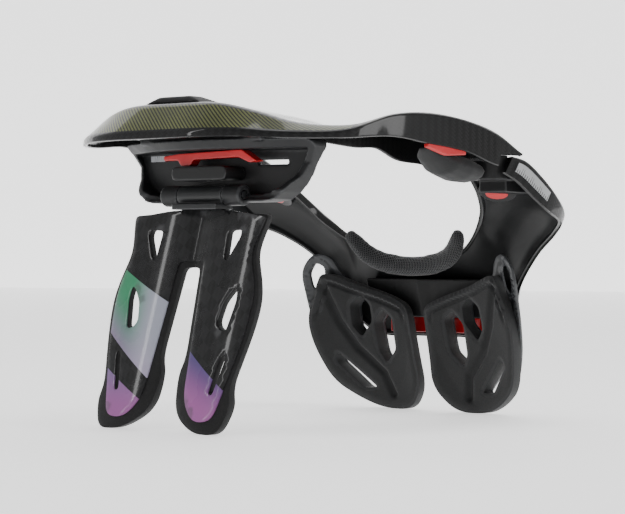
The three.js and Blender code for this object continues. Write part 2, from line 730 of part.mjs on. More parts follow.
function addNeckRoll() {
  const sides = 12;
  const left = NECK_ROLL.map((row) => ({ centre: frontPoint(row), size: row.size }));
  const mirror = ({ centre, size }) => ({ centre: centre.clone().setX(-centre.x), size });
  const right = left.slice(1).reverse().map(mirror);
  const stations = [...right, ...left];
  const curve = new THREE.CatmullRomCurve3(stations.map(({ centre }) => centre));
  const steps = 16;
  const rings = Array.from({ length: steps + 1 }, (_, i) => {
    const place = (i / steps) * (stations.length - 1);
    const low = Math.min(Math.floor(place), stations.length - 2);
    const size = THREE.MathUtils.lerp(stations[low].size, stations[low + 1].size, place - low);
    const along = curve.getTangent(i / steps);
    const centre = curve.getPoint(i / steps);
    const outward = new THREE.Vector3(0, 1, 0);
    outward.addScaledVector(along, -outward.dot(along)).normalize();
    const upward = new THREE.Vector3().crossVectors(outward, along).normalize();
    return Array.from({ length: sides }, (_, k) => {
      const turn = (2 * Math.PI * k) / sides;
      return centre.clone()
        .addScaledVector(outward, (size * NECK_ROLL_THICKNESS * Math.cos(turn)) / 2)
        .addScaledVector(upward, (size * NECK_ROLL_HEIGHT * Math.sin(turn)) / 2);
    });
  });
  addPiece('front_neck_roll', loftBody(rings), 'textile');
}

// The Y of a chest pad's front face, which leans back at the top and wraps round the chest
function padBack(x, z) {
  const lean = (z / PAD_HEIGHT) * 0.19 * PAD_TOE_REACH;
  const wrap = ((Math.abs(x) / PAD_HALF_SPAN - 0.38) / 0.62) ** 2;
  return -PAD_TOE_REACH + lean + 0.13 * PAD_TOE_REACH * wrap;
}

// The thickness of the pad's foam: thin at the border and domed towards the chest in the upper middle
function padDepth(x, z) {
  const across = (Math.abs(x) / PAD_HALF_SPAN - 0.6) / 0.48;
  const up = (z / PAD_HEIGHT - 0.62) / 0.62;
  return PAD_EDGE + PAD_DOME * Math.max(0, 1 - across * across - up * up);
}

const scaled = (rows, width, height, side) => rows.map((row) => ({
  x: side * row.side * width, y: row.height * height, round: row.round,
}));

const padOutline = (rows, side) => roundedShape(scaled(rows, PAD_HALF_SPAN, PAD_HEIGHT, side));
const padWindows = (tables, side) => (
  tables.map((rows) => roundedShape(scaled(rows, PAD_HALF_SPAN, PAD_HEIGHT, side), 3))
);

// The band of a given width along a line of table rows
function bandShape(points, width) {
  const offset = (sign) => points.map((p, i) => {
    const before = points[Math.max(i - 1, 0)];
    const after = points[Math.min(i + 1, points.length - 1)];
    const run = new THREE.Vector2(after.x - before.x, after.y - before.y).normalize();
    return { x: p.x - (sign * run.y * width) / 2, y: p.y + (sign * run.x * width) / 2, round: width / 2 };
  });
  return roundedShape([...offset(1), ...offset(-1).reverse()]);
}

function addChestPad(name, side) {
  const wide = [side * -2, side * (PAD_HALF_SPAN + 2)];
  const tall = [-2, PAD_HEIGHT + 2];
  const face = (x, z) => padBack(x, z) + padDepth(x, z);
  const foam = slab(wide, tall, 9, 9, face, padBack);
  let pad = cutFromSlab(foam, padOutline(PAD_OUTLINE, side), padWindows(PAD_WINDOWS, side));
  const groove = slab(wide, tall, 9, 9, (x, z) => face(x, z) + 3, (x, z) => face(x, z) - GROOVE_DEPTH);
  const line = scaled(PAD_GROOVE, PAD_HALF_SPAN, PAD_HEIGHT, side);
  pad = pad.subtract(cutFromSlab(groove, bandShape(line, GROOVE_WIDTH)));
  addPiece(name, geometryOf(largestOf(pad)), 'foam');
}

function addChestShell(name, side) {
  const wide = [side * 2, side * (PAD_HALF_SPAN + 8)];
  const tall = [-2, PAD_HEIGHT + 14];
  const rearY = (x, z) => padBack(x, z) - TOUCH_GAP;
  const frontY = (x, z) => padBack(x, z) - TOUCH_GAP - SHELL_WALL;
  const plate = slab(wide, tall, 7, 1, rearY, frontY);
  const windows = padWindows([STRAP_RING, ...PAD_WINDOWS], side);
  const shell = cutFromSlab(plate, padOutline(SHELL_OUTLINE, side), windows);
  addPiece(name, geometryOf(largestOf(shell)), 'plastic');
}

// The block that carries both chest shells, between them and the inside of the front frame
function addChestBridge(keepOut) {
  const bottom = ADJUSTER_BOTTOM + ADJUSTER_HEIGHT;
  const rearY = (x, z) => padBack(x, z) - TOUCH_GAP * 2 - SHELL_WALL;
  const wide = [-BRIDGE_HALF_WIDTH, BRIDGE_HALF_WIDTH];
  const tall = [bottom, bottom + BRIDGE_HEIGHT];
  const block = solidOf(slab(wide, tall, 12, 4, rearY, (x, z) => rearY(x, z) - 40)).subtract(keepOut);
  addPiece('chest_bridge', geometryOf(largestOf(block)), 'plastic');
}

function addChestAdjuster(keepOut) {
  const top = ADJUSTER_BOTTOM + ADJUSTER_HEIGHT - TOUCH_GAP;
  const frontY = -FRONT_REACH + FRAME_WALL + 2;
  const bar = box(-ADJUSTER_HALF_WIDTH, ADJUSTER_HALF_WIDTH, frontY, frontY + 9, top - ADJUSTER_HEIGHT, top);
  addPiece('chest_adjuster', geometryOf(largestOf(solidOf(bar).subtract(keepOut))), 'red');
}

// Housing

const tableUnderside = SHOULDER_HEIGHT + 0.34 * COLLAR_RISE - FRAME_WALL;
const HOUSING_HEIGHT = tableUnderside - HINGE_HEIGHT - TOUCH_GAP;

// The Y of the housing's open rim: furthest back under the table, hollow at the middle of its ends
function housingRim(x, z) {
  const across = Math.min(1, Math.abs(x) / HOUSING_HALF_WIDTH);
  const up = THREE.MathUtils.clamp((z - HINGE_HEIGHT) / HOUSING_HEIGHT, 0, 1);
  const base = HINGE_REACH + up * (0.09 * REAR_REACH) - 0.14 * REAR_REACH * across * across * up;
  return base - 0.12 * REAR_REACH * Math.sin(Math.PI * up) * across * across;
}

// The Y of the housing's wall on the neck side
function housingBack(x) {
  const across = Math.abs(x) / HOUSING_HALF_WIDTH;
  return 0.575 * REAR_REACH - 0.06 * REAR_REACH * across * across;
}

const clipFrom = housingBack(0) + HOUSING_WALL + CLIP_SETBACK;
const clipTop = HINGE_HEIGHT + HOUSING_HEIGHT - HOUSING_TOP_WALL - TOUCH_GAP;

const mirrored = (corners) => {
  const left = corners.filter((corner) => corner.x > 0).reverse();
  return [...corners, ...left.map((corner) => ({ ...corner, x: -corner.x }))];
};

function housingShape(topInset, inset) {
  const corners = HOUSING_OUTLINE.map((row) => {
    const x = row.side * HOUSING_HALF_WIDTH;
    const z = HINGE_HEIGHT + row.height * HOUSING_HEIGHT;
    const shiftX = row.side > 0 ? -inset : 0;
    const shiftZ = row.height > 0.9 ? -topInset : (row.height < 0 ? inset : 0);
    return { x: x + shiftX, y: z + shiftZ, round: row.round };
  });
  return roundedShape(mirrored(corners));
}

function addStrutHousing(keepOut) {
  const wide = [-HOUSING_HALF_WIDTH - 1, HOUSING_HALF_WIDTH + 1];
  const tall = [HINGE_HEIGHT - 12, HINGE_HEIGHT + HOUSING_HEIGHT + 1];
  let tray = cutFromSlab(slab(wide, tall, 14, 6, housingRim, housingBack), housingShape(0, 0));
  const hollow = slab(wide, tall, 14, 1, () => REAR_REACH + 20, (x) => housingBack(x) + HOUSING_WALL);
  tray = tray.subtract(cutFromSlab(hollow, housingShape(HOUSING_TOP_WALL, HOUSING_WALL)));
  const inner = BARREL_LENGTH / 2 + TOUCH_GAP * 2;
  for (const [, side] of SIDES) {
    const ends = [side * inner, side * (inner + KNUCKLE_LENGTH)].sort((a, b) => a - b);
    tray = tray.add(solidOf(hingeBar(ends[0], ends[1], KNUCKLE_RADIUS, 20)));
  }
  const swing = hingeBar(-inner, inner, KNUCKLE_RADIUS + SWING_ROOM, 24);
  tray = tray.subtract(solidOf(swing));
  const front = HINGE_REACH;
  tray = tray.subtract(solidOf(box(-inner, inner, front, front + 40, HINGE_HEIGHT - 20, HINGE_HEIGHT + 8)));
  const under = box(-inner, inner, front - SWING_REACH, front, HINGE_HEIGHT - SWING_REACH, HINGE_HEIGHT);
  tray = tray.subtract(solidOf(under));
  tray = tray.subtract(solidOf(hingeBar(-80, 80, HINGE_PIN_RADIUS + TOUCH_GAP, 16)));
  const ceiling = HINGE_HEIGHT + HOUSING_HEIGHT;
  const mountReach = [HINGE_REACH - 11, HINGE_REACH + 7];
  const mount = box(-MOUNT_HALF_WIDTH, MOUNT_HALF_WIDTH, ...mountReach, ceiling - 2, ceiling + COLLAR_RISE);
  tray = tray.add(solidOf(mount).subtract(keepOut));
  const slot = box(-62, -36, 0.5 * REAR_REACH, HINGE_REACH - 8, HINGE_HEIGHT + 21.5, HINGE_HEIGHT + 24.5);
  tray = tray.subtract(solidOf(slot));
  addPiece('strut_housing', geometryOf(largestOf(tray)), 'plastic');
}

function addHingePin() {
  const half = BARREL_LENGTH / 2 + KNUCKLE_LENGTH + 1;
  addPiece('hinge_pin', hingeBar(-half, half, HINGE_PIN_RADIUS, 16), 'steel');
}

// Red clip, a bar with a tab at its left and a turned down end at its right. along is a share of the
// clip's length from the middle of the back and down one of its depth below the ceiling.
const CLIP_OUTLINE = table('along down', [
  [0.438, 0.375], [0.270, 0.188], [-0.404, 0.000], [-0.562, 1.000], [-0.483, 1.125], [-0.371, 0.625],
  [0.112, 0.750], [0.146, 1.250], [0.247, 1.250], [0.281, 0.750], [0.438, 0.750],
]);

function addAdjusterClip() {
  const corners = CLIP_OUTLINE.map(({ along, down }) => ({ x: along * CLIP_LENGTH, y: clipTop - down * CLIP_DEPTH }));
  addPiece('adjuster_clip', prism(roundedShape(corners, 1), clipFrom, clipFrom + CLIP_DEPTH), 'red');
}

// Grey end of the clip's pin
function addClipPin() {
  const top = clipTop - CLIP_OUTLINE[0].down * CLIP_DEPTH + 0.5;
  const fromX = CLIP_OUTLINE[0].along * CLIP_LENGTH + TOUCH_GAP;
  const fromY = clipFrom + (CLIP_DEPTH - CLIP_PIN_THICKNESS) / 2;
  const toY = fromY + CLIP_PIN_THICKNESS;
  addPiece('clip_pin', box(fromX, fromX + CLIP_PIN_LENGTH, fromY, toY, top - CLIP_PIN_THICKNESS, top), 'steel');
}

function addSliderBlock() {
  const fromY = housingBack(0) + HOUSING_WALL + TOUCH_GAP;
  const bottom = HINGE_HEIGHT + 10.5;
  const half = SLIDER_WIDTH / 2;
  const shape = roundedShape([
    { x: -half, y: bottom }, { x: half, y: bottom },
    { x: half, y: bottom + SLIDER_HEIGHT - 2 }, { x: -half, y: bottom + SLIDER_HEIGHT - 2 },
  ], 4);
  addPiece('slider_block', prism(shape, fromY, fromY + SLIDER_DEPTH), 'plastic');
}

// Strut

// The Y of the strut plate's rear face: it leans back to the feet and each leg is crowned
function strutRear(x, z) {
  const lean = FOOT_REACH - ((FOOT_REACH - HINGE_REACH) * z) / HINGE_HEIGHT;
  const across = (Math.abs(x) / STRUT_HALF_WIDTH - 0.58) / 0.42;
  return lean + STRUT_CROWN * (1 - across * across);
}

function strutShape(rows) {
  const leg = scaled(rows, STRUT_HALF_WIDTH, HINGE_HEIGHT, 1);
  const other = [...leg].reverse().map((corner) => ({ ...corner, x: -corner.x }));
  return roundedShape([...leg, ...other]);
}

function strutWindows() {
  return SIDES.flatMap(([, side]) => (
    STRUT_WINDOWS.map((rows) => roundedShape(scaled(rows, STRUT_HALF_WIDTH, HINGE_HEIGHT, side), 3))
  ));
}

// The same outline moved out by a distance
function grown(shape, distance) {
  const points = shape.getPoints(3);
  const turn = THREE.ShapeUtils.isClockWise(points) ? -1 : 1;
  return new THREE.Shape(points.map((p, i) => {
    const before = points[(i + points.length - 1) % points.length];
    const after = points[(i + 1) % points.length];
    const run = new THREE.Vector2().subVectors(after, before).normalize();
    return new THREE.Vector2(p.x + turn * run.y * distance, p.y - turn * run.x * distance);
  }));
}

const TONGUE_BOTTOM = HINGE_HEIGHT - 24;
const strutWide = [-STRUT_HALF_WIDTH - 2, STRUT_HALF_WIDTH + 2];
const strutTall = [-2, HINGE_HEIGHT * 0.97];

function addStrutPlate() {
  const sheet = slab(strutWide, strutTall, 16, 1, strutRear, (x, z) => strutRear(x, z) - STRUT_WALL);
  addPiece('strut_plate', geometryOf(largestOf(cutFromSlab(sheet, strutShape(STRUT_LEG), strutWindows()))), 'carbon');
}

// Rubber backing: its rim stands round the plate, which lies in a pocket, and its feet are thicker
function addStrutBacking() {
  const frontY = (x, z) => {
    const foot = THREE.MathUtils.smoothstep(0.26 * HINGE_HEIGHT - z, 0, 0.14 * HINGE_HEIGHT);
    return strutRear(x, z) - STRUT_WALL - BACKING_WALL * (0.75 + 0.5 * foot);
  };
  const rearY = (x, z) => strutRear(x, z) - STRUT_WALL * 0.35;
  const rubber = slab(strutWide, strutTall, 16, 8, rearY, frontY);
  let backing = cutFromSlab(rubber, strutShape(BACKING_LEG), strutWindows());
  const pocket = slab(strutWide, strutTall, 16, 1, (x, z) => strutRear(x, z) + 5, (x, z) => (
    strutRear(x, z) - STRUT_WALL - TOUCH_GAP
  ));
  backing = backing.subtract(cutFromSlab(pocket, grown(strutShape(STRUT_LEG), TOUCH_GAP + 0.1)));
  const half = BARREL_LENGTH / 2 + TOUCH_GAP;
  const notch = box(-half, half, 0, REAR_REACH, TONGUE_BOTTOM - TOUCH_GAP, HINGE_HEIGHT);
  addPiece('strut_backing', geometryOf(largestOf(backing.subtract(solidOf(notch)))), 'rubber');
}

// Middle barrel of the hinge, with a flange over the top of the plate and a tongue in front of it
function addStrutKnuckle() {
  const half = BARREL_LENGTH / 2;
  const plateTop = HINGE_HEIGHT * STRUT_LEG[0].height + TOUCH_GAP;
  let knuckle = solidOf(hingeBar(-half, half, KNUCKLE_RADIUS - 0.3, 24));
  knuckle = knuckle.add(solidOf(box(-half, half, HINGE_REACH - 5, HINGE_REACH + 5, plateTop + 2, HINGE_HEIGHT)));
  knuckle = knuckle.add(solidOf(box(-half, half, HINGE_REACH - 6, HINGE_REACH + FLANGE_DEPTH, plateTop, plateTop + 4)));
  const tongueFront = (x, z) => strutRear(x, z) - STRUT_WALL - BACKING_WALL;
  const tongue = slab([-half, half], [TONGUE_BOTTOM, plateTop + 2], 6, 1, (x, z) => (
    strutRear(x, z) - STRUT_WALL - TOUCH_GAP
  ), tongueFront);
  knuckle = knuckle.add(solidOf(tongue));
  knuckle = knuckle.subtract(solidOf(hingeBar(-half - 2, half + 2, HINGE_PIN_RADIUS + TOUCH_GAP, 16)));
  addPiece('strut_knuckle', geometryOf(largestOf(knuckle)), 'plastic');
}

const frontOuter = frontKeepOut();
const rearOuter = rearKeepOut();

addFrontFrame();
addNeckRoll();
addChestBridge(frontOuter);
addChestAdjuster(frontOuter);
for (const [name, side] of SIDES) {
  addChestShell(`chest_shell_${name}`, side);
  addChestPad(`chest_pad_${name}`, side);
  addLatchBoss(`latch_boss_${name}`, side, frontOuter);
  addScalePlate(`scale_plate_${name}`, side);
  addReleaseButton(`release_button_${name}`, side);
  addShoulderPad(`shoulder_pad_${name}`, side, rearOuter);
  addReleaseTab(`release_tab_${name}`, side);
}
addPivotPin();
addRearFrame();
addImpactPad();
addStrutHousing(rearOuter);
addAdjusterClip();
addClipPin();
addSliderBlock();
addHingePin();
addStrutKnuckle();
addStrutPlate();
addStrutBacking();

// The box of the whole, centred on the origin with its feet on the floor
const bounds = new THREE.Box3().setFromObject(brace);
const centre = bounds.getCenter(new THREE.Vector3());
for (const mesh of brace.children) mesh.geometry.translate(-centre.x, -centre.y, -bounds.min.z);

export default brace;
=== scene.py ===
import math
import bpy
import bmesh
import numpy as np
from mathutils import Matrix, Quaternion, Vector
from mathutils.geometry import delaunay_2d_cdt


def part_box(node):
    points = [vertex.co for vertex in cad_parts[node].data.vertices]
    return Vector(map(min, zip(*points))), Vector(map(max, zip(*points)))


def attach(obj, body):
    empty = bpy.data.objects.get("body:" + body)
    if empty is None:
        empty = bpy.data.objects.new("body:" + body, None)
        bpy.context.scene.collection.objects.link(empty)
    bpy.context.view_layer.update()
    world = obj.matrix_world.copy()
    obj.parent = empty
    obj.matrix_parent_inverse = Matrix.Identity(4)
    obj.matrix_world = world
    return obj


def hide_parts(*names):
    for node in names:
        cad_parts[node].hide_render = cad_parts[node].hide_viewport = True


# %% [markdown]
# # A motocross neck brace
# This lesson dresses a stiff collar that a rider wears over the shoulders. It stands by itself on the
# two feet of its back strut and on the lower ends of its two chest pads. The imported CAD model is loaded
# first and is never changed. It holds the right sizes, but its faces are coarse, so the main forms are
# made again here as fine meshes in the same place, and each one then stands for its CAD node.

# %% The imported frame
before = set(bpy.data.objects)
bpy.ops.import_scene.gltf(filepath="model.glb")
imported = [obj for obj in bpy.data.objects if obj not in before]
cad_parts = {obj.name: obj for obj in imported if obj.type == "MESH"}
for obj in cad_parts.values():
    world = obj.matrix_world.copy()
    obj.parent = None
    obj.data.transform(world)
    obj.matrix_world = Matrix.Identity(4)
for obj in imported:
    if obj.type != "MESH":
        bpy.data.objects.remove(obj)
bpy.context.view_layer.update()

# %% [markdown]
# ## Sizes
# All tables below are in millimetres or in shares of these sizes, seen from the middle of the neck
# opening. The CAD model stands centred on its own box, so the middle of the neck opening lies a little
# behind the origin. The pin of the strut hinge tells by how much, because its place is known.

# %% Sizes of the brace, in millimetres
HALF_WIDTH = 152
REAR_REACH = 162
FRONT_REACH = 165
SHOULDER = 193
RISE = 32
WALL = 3
BULGE = 11
HINGE_REACH = 111
HINGE_HEIGHT = 162
FOOT_REACH = 157.5
STRUT_HALF = 72
PAD_SPAN = 106
PAD_HEIGHT = 112
TOE_REACH = 160
PIVOT = (128, -50)
SEAT_RADIUS = 27.5
pin_low, pin_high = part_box("hinge_pin")
SHIFT = 1000 * (pin_low.y + pin_high.y) / 2 - HINGE_REACH
SIDES = {"left": 1, "right": -1}
print(f"the neck opening's middle lies {SHIFT:.1f} mm behind the origin")

# %% [markdown]
# ## From points to an object
# Every mesh here starts as arrays of points and lists of faces. One helper turns them into an object in
# metres, shades it smoothly and keeps creases that are sharper than an angle. Smooth shading is what
# lets a mesh of small flat faces pass for a moulded skin.


# %% A mesh object from points in millimetres
def crease_edges(thing, angle, turn_outward=False):
    """Shades a mesh smoothly and keeps the folds sharper than an angle in degrees hard."""
    work = bmesh.new()
    work.from_mesh(thing.data)
    if turn_outward:
        bmesh.ops.recalc_face_normals(work, faces=work.faces)
    for edge in work.edges:
        turn = edge.calc_face_angle(0) if len(edge.link_faces) == 2 else 0
        edge.smooth = turn < math.radians(angle)
    for face in work.faces:
        face.smooth = True
    work.to_mesh(thing.data)
    work.free()


def add_object(name, points, faces, crease=40):
    points = np.asarray(points, float) + (0, SHIFT, 0)
    mesh = bpy.data.meshes.new(name)
    mesh.from_pydata((points / 1000).tolist(), [], faces)
    mesh.validate()
    thing = bpy.data.objects.new(name, mesh)
    bpy.context.scene.collection.objects.link(thing)
    crease_edges(thing, crease, turn_outward=True)
    return thing


def settle(thing):
    """Applies the object's modifiers, so that its mesh is what is seen."""
    graph = bpy.context.evaluated_depsgraph_get()
    mesh = bpy.data.meshes.new_from_object(thing.evaluated_get(graph))
    thing.modifiers.clear()
    thing.data = mesh
    for polygon in mesh.polygons:
        polygon.use_smooth = True


print("helpers ready: crease_edges, add_object and settle")


# %% [markdown]
# ## The camera, the floor and the light
# The photograph looks at the brace from behind and from the wearer's right, level with it, from about
# 1.6 m away. The camera comes first, so that each new piece can be judged in its place.
# A very large pale floor, a pale wall far behind and three soft area lights stand in for a studio. The
# big light overhead gives the broad gleams on the lacquer, the narrow one draws the bright lines down
# the strut, and the one at the right models the edges.

# %% Camera
CAMERA_TURN = math.radians(40.98)
CAMERA_RISE = math.radians(0.48)
CAMERA_ROLL = math.radians(0.4)
CAMERA_AWAY = 1.64
AIM_LEVEL = 0.1  # the camera aims at this height, in metres
IMAGE_WIDTH = 625
SENSOR_WIDTH = 36
PIXELS_PER_AWAY = 1.359  # pixels that a millimetre takes in the picture, at the neck opening
camera_data = bpy.data.cameras.new("camera")
camera = bpy.data.objects.new("camera", camera_data)
bpy.context.scene.collection.objects.link(camera)
bpy.context.scene.camera = camera
level = math.cos(CAMERA_RISE)
toward_camera = Vector(
    (-math.sin(CAMERA_TURN) * level, math.cos(CAMERA_TURN) * level, math.sin(CAMERA_RISE))
)
camera_data.sensor_width = SENSOR_WIDTH
camera_data.lens = SENSOR_WIDTH * PIXELS_PER_AWAY * CAMERA_AWAY * 1000 / IMAGE_WIDTH
camera_data.shift_x, camera_data.shift_y = 0.0059, 0.0438  # shares of the picture's width
camera_data.clip_end = 100
camera.location = Vector((0, SHIFT / 1000, AIM_LEVEL)) + toward_camera * CAMERA_AWAY
facing = (-toward_camera).to_track_quat("-Z", "Y")
camera.rotation_euler = (facing @ Quaternion((0, 0, 1), CAMERA_ROLL)).to_euler()
print("lens in mm:", round(camera_data.lens, 1))

# %% Floor and lights
WALL_AWAY = 9  # metres behind the brace


def studio_sheet(name, size, **place):
    bpy.ops.mesh.primitive_plane_add(size=size, **place)
    sheet = bpy.context.object
    sheet.name = name
    return sheet


floor = studio_sheet("studio_floor", 30)
away = Vector((-toward_camera.x, -toward_camera.y, 0)) * WALL_AWAY
turn = math.atan2(away.y, away.x) - math.pi / 2
backdrop = studio_sheet("studio_backdrop", 26, location=(away.x, away.y, 6), rotation=(math.pi / 2, 0, turn))


def area_light(name, place, aim, size, power):
    """A rectangle of light at a place, turned to its aim; metres and watts."""
    data = bpy.data.lights.new(name, "AREA")
    data.shape = "RECTANGLE"
    data.size, data.size_y = size
    data.energy = power
    lamp = bpy.data.objects.new(name, data)
    bpy.context.scene.collection.objects.link(lamp)
    lamp.location = place
    lamp.rotation_euler = (Vector(aim) - Vector(place)).to_track_quat("-Z", "Y").to_euler()


LIGHTS = [
    ("light_above", (-0.3, 0.1, 2.2), (0, 0, 0.15), (1.6, 1.0), 16),
    ("light_strip", (0.99, 1.42, 0.84), (0.03, 0.14, 0.09), (0.07, 1.1), 1.6),
    ("light_right", (-2.0, -0.6, 0.9), (0, 0, 0.15), (0.4, 1.2), 7),
]
for light in LIGHTS:
    area_light(*light)
world = bpy.data.worlds.new("studio")
bpy.context.scene.world = world
world.use_nodes = True
background = world.node_tree.nodes["Background"]
background.inputs["Color"].default_value = (1, 1, 1, 1)
background.inputs["Strength"].default_value = 0.34
print("lights:", [light[0] for light in LIGHTS])

# %% [markdown]
# ## Shader tools
# A material is a network of small nodes. Writing each link by hand hides the idea, so a tiny helper
# class keeps a tree, adds nodes to it and accepts either a number or another node's output for every
# input. Effects that several finishes share, such as a twill weave or a fine grain, are node groups
# with named inputs and outputs: they are made once and placed with other values in each material.


# %% A short way to write node trees
def named_input(node, key):
    """The input called key, with _ for a space, or the first input for i0, the second for i1, and so on."""
    return node.inputs[int(key[1:]) if key[1:].isdigit() else key.replace("_", " ")]


class Tree:
    def __init__(self, tree):
        self.tree = tree

    def node(self, kind, settings=None, **inputs):
        made = self.tree.nodes.new(kind)
        for key, value in (settings or {}).items():
            setattr(made, key, value)
        for key, value in inputs.items():
            self.feed(named_input(made, key), value)
        return made

    def feed(self, socket, value):
        if isinstance(value, bpy.types.NodeSocket):
            self.tree.links.new(value, socket)
        else:
            socket.default_value = value

    def math(self, operation, a, b=0.0, c=0.0):
        made = self.node("ShaderNodeMath", {"operation": operation})
        for socket, value in zip(made.inputs, (a, b, c)):
            self.feed(socket, value)
        return made.outputs[0]

    def mix(self, share, a, b):
        made = self.node("ShaderNodeMix", {"data_type": "RGBA"})
        for index, value in ((0, share), (6, a), (7, b)):
            self.feed(made.inputs[index], value)
        return made.outputs[2]

    def ramp(self, value, low, high, from_value=0.0, to_value=1.0):
        made = self.node("ShaderNodeMapRange", {"interpolation_type": "SMOOTHSTEP"})
        for index, number in enumerate((value, low, high, from_value, to_value)):
            self.feed(made.inputs[index], number)
        return made.outputs[0]

    def place(self, group, **inputs):
        return self.node("ShaderNodeGroup", {"node_tree": group}, **inputs)


def new_group(name, inputs, outputs):
    """A node group with sockets given as (name, kind, default)."""
    group = bpy.data.node_groups.new(name, "ShaderNodeTree")
    for label, kind, default in inputs:
        socket = group.interface.new_socket(label, in_out="INPUT", socket_type="NodeSocket" + kind)
        if default is not None:
            socket.default_value = default
    for label, kind in outputs:
        group.interface.new_socket(label, in_out="OUTPUT", socket_type="NodeSocket" + kind)
    tree = Tree(group)
    return group, tree, tree.node("NodeGroupInput").outputs, tree.node("NodeGroupOutput").inputs


def new_material(name, **values):
    """A material with its Principled shader, whose plain values are set on its own sockets."""
    material = bpy.data.materials.new(name)
    material.use_nodes = True
    shader = material.node_tree.nodes["Principled BSDF"]
    for key, value in values.items():
        named_input(shader, key).default_value = value
    return material, Tree(material.node_tree), shader.inputs


print("helpers ready: named_input, Tree, new_group and new_material")


# %% [markdown]
# ### Grain, edge highlights and bumps
# Moulded parts are never perfectly even. The grain group gives a slow variation, a fine grain and a
# height for a Bump node, all from the object's own coordinates in metres, so the scale is true on every
# piece. The edge group reads how sharply the mesh bends, which finds the lips and corners; there the
# materials paint a highlight in a paler colour.

# %% Group: grain of a moulded surface
GRAIN, t, given, result = new_group(
    "grain",
    [("Scale", "Float", 900.0), ("Bump", "Float", 0.2), ("Depth", "Float", 0.0002)],
    [("Mottle", "Float"), ("Fine", "Float"), ("Normal", "Vector")],
)
place = t.node("ShaderNodeTexCoord").outputs["Object"]
slow = t.node("ShaderNodeTexNoise", Vector=place, Scale=28.0, Detail=4.0).outputs[0]
fine = t.node("ShaderNodeTexNoise", Vector=place, Scale=given["Scale"], Detail=3.0).outputs[0]
bump = t.node("ShaderNodeBump", Height=fine, Strength=given["Bump"], Distance=given["Depth"])
t.feed(result["Mottle"], slow)
t.feed(result["Fine"], fine)
t.feed(result["Normal"], bump.outputs[0])

# %% Group: sharp bends, for painted edge highlights
EDGE_BEND, t, given, result = new_group(
    "edge bend", [("Reach", "Float", 0.55)], [("Edge", "Float")]
)
bend = t.node("ShaderNodeNewGeometry").outputs["Pointiness"]
t.feed(result["Edge"], t.ramp(bend, 0.505, given["Reach"]))
print("groups:", GRAIN.name, "and", EDGE_BEND.name)

# %% [markdown]
# ### Woven cloth
# Carbon cloth is a twill: each thread passes over two and under two, and each row steps sideways by
# one, so short lines climb across the cloth at 45 degrees. The group takes cloth coordinates in metres,
# turns them into threads, and tells whether the warp or the weft lies on top. It also gives the
# roundness of the thread across its width, which makes the bump and the thin dark gaps.

# %% Group: twill weave
TWILL, t, given, result = new_group(
    "twill weave",
    [("Cloth", "Vector", None), ("Thread", "Float", 0.0015), ("Turn", "Float", 0.0), ("Step", "Float", 4.0)],
    [("Warp on top", "Float"), ("Roundness", "Float")],
)
turned = t.node(
    "ShaderNodeVectorRotate", {"rotation_type": "Z_AXIS"}, Vector=given["Cloth"], Angle=given["Turn"]
)
split = t.node("ShaderNodeSeparateXYZ", Vector=turned.outputs[0])
across = t.math("DIVIDE", split.outputs[0], given["Thread"])
along = t.math("DIVIDE", split.outputs[1], given["Thread"])
column = t.math("FLOOR", across)
row = t.math("FLOOR", along)
phase = t.math("FLOORED_MODULO", t.math("ADD", column, row), given["Step"])
half = t.math("MULTIPLY", given["Step"], 0.5)
on_top = t.math("LESS_THAN", phase, half)


def bow(tree, value):
    """0 at a thread's two edges and 1 on its middle."""
    part = tree.math("FRACT", value)
    return tree.math("MULTIPLY", tree.math("MULTIPLY", part, tree.math("SUBTRACT", 1.0, part)), 4.0)


warp_bow = bow(t, across)
weft_bow = bow(t, along)
chosen = t.node("ShaderNodeMix", {"data_type": "FLOAT"})
for index, value in ((0, on_top), (2, weft_bow), (3, warp_bow)):
    t.feed(chosen.inputs[index], value)
t.feed(result["Warp on top"], on_top)
t.feed(result["Roundness"], chosen.outputs[0])
print("group:", TWILL.name)

# %% [markdown]
# ## Finishes
# Four finishes cover most of the brace: black lacquered carbon, a green and black carbon cloth, matte
# moulded nylon and moulded foam. Lacquer is made with the shader's coat, which stays smooth while the
# cloth below it is bumped, and that is why real clear-coated carbon looks deep.

# %% Material: black carbon under gloss lacquer
CLOTH = "cloth"


def cloth_place(tree):
    return tree.node("ShaderNodeAttribute", {"attribute_name": CLOTH}).outputs["Vector"]


def carbon_material(name, dark, light, thread, turn):
    """Twill of two colours under a smooth clear coat, with threads of a width in metres."""
    material, t, shader = new_material(
        name, Coat_Weight=0.75, Coat_Roughness=0.05, Coat_IOR=1.45, Specular_IOR_Level=0.2
    )
    weave = t.place(TWILL, Cloth=cloth_place(t), Thread=thread, Turn=turn)
    grain = t.place(GRAIN, Scale=500.0, Bump=0.15)
    thread_colour = t.mix(weave.outputs["Warp on top"], dark, light)
    shade = t.ramp(weave.outputs["Roundness"], 0.0, 0.7, 0.3, 1.0)
    uneven = t.ramp(grain.outputs["Mottle"], 0.3, 0.7, 0.8, 1.2)
    strength = t.math("MULTIPLY", shade, uneven)
    colour = t.node("ShaderNodeVectorMath", {"operation": "SCALE"}, i0=thread_colour, Scale=strength)
    t.feed(shader["Base Color"], colour.outputs[0])
    t.feed(shader["Roughness"], t.ramp(weave.outputs["Warp on top"], 0, 1, 0.32, 0.44))
    bump = t.node("ShaderNodeBump", Height=weave.outputs["Roundness"], Strength=0.25, Distance=0.0002)
    t.feed(bump.inputs["Normal"], grain.outputs["Normal"])
    t.feed(shader["Normal"], bump.outputs[0])
    return material


BLACK_CARBON = carbon_material(
    "black carbon", (0.003, 0.003, 0.0033, 1), (0.007, 0.0072, 0.0075, 1), 0.0020, math.radians(45)
)
GREEN_CARBON = carbon_material(
    "green carbon cloth", (0.005, 0.006, 0.003, 1), (0.15, 0.165, 0.042, 1), 0.0007, math.radians(90)
)
print("materials:", BLACK_CARBON.name, "and", GREEN_CARBON.name)
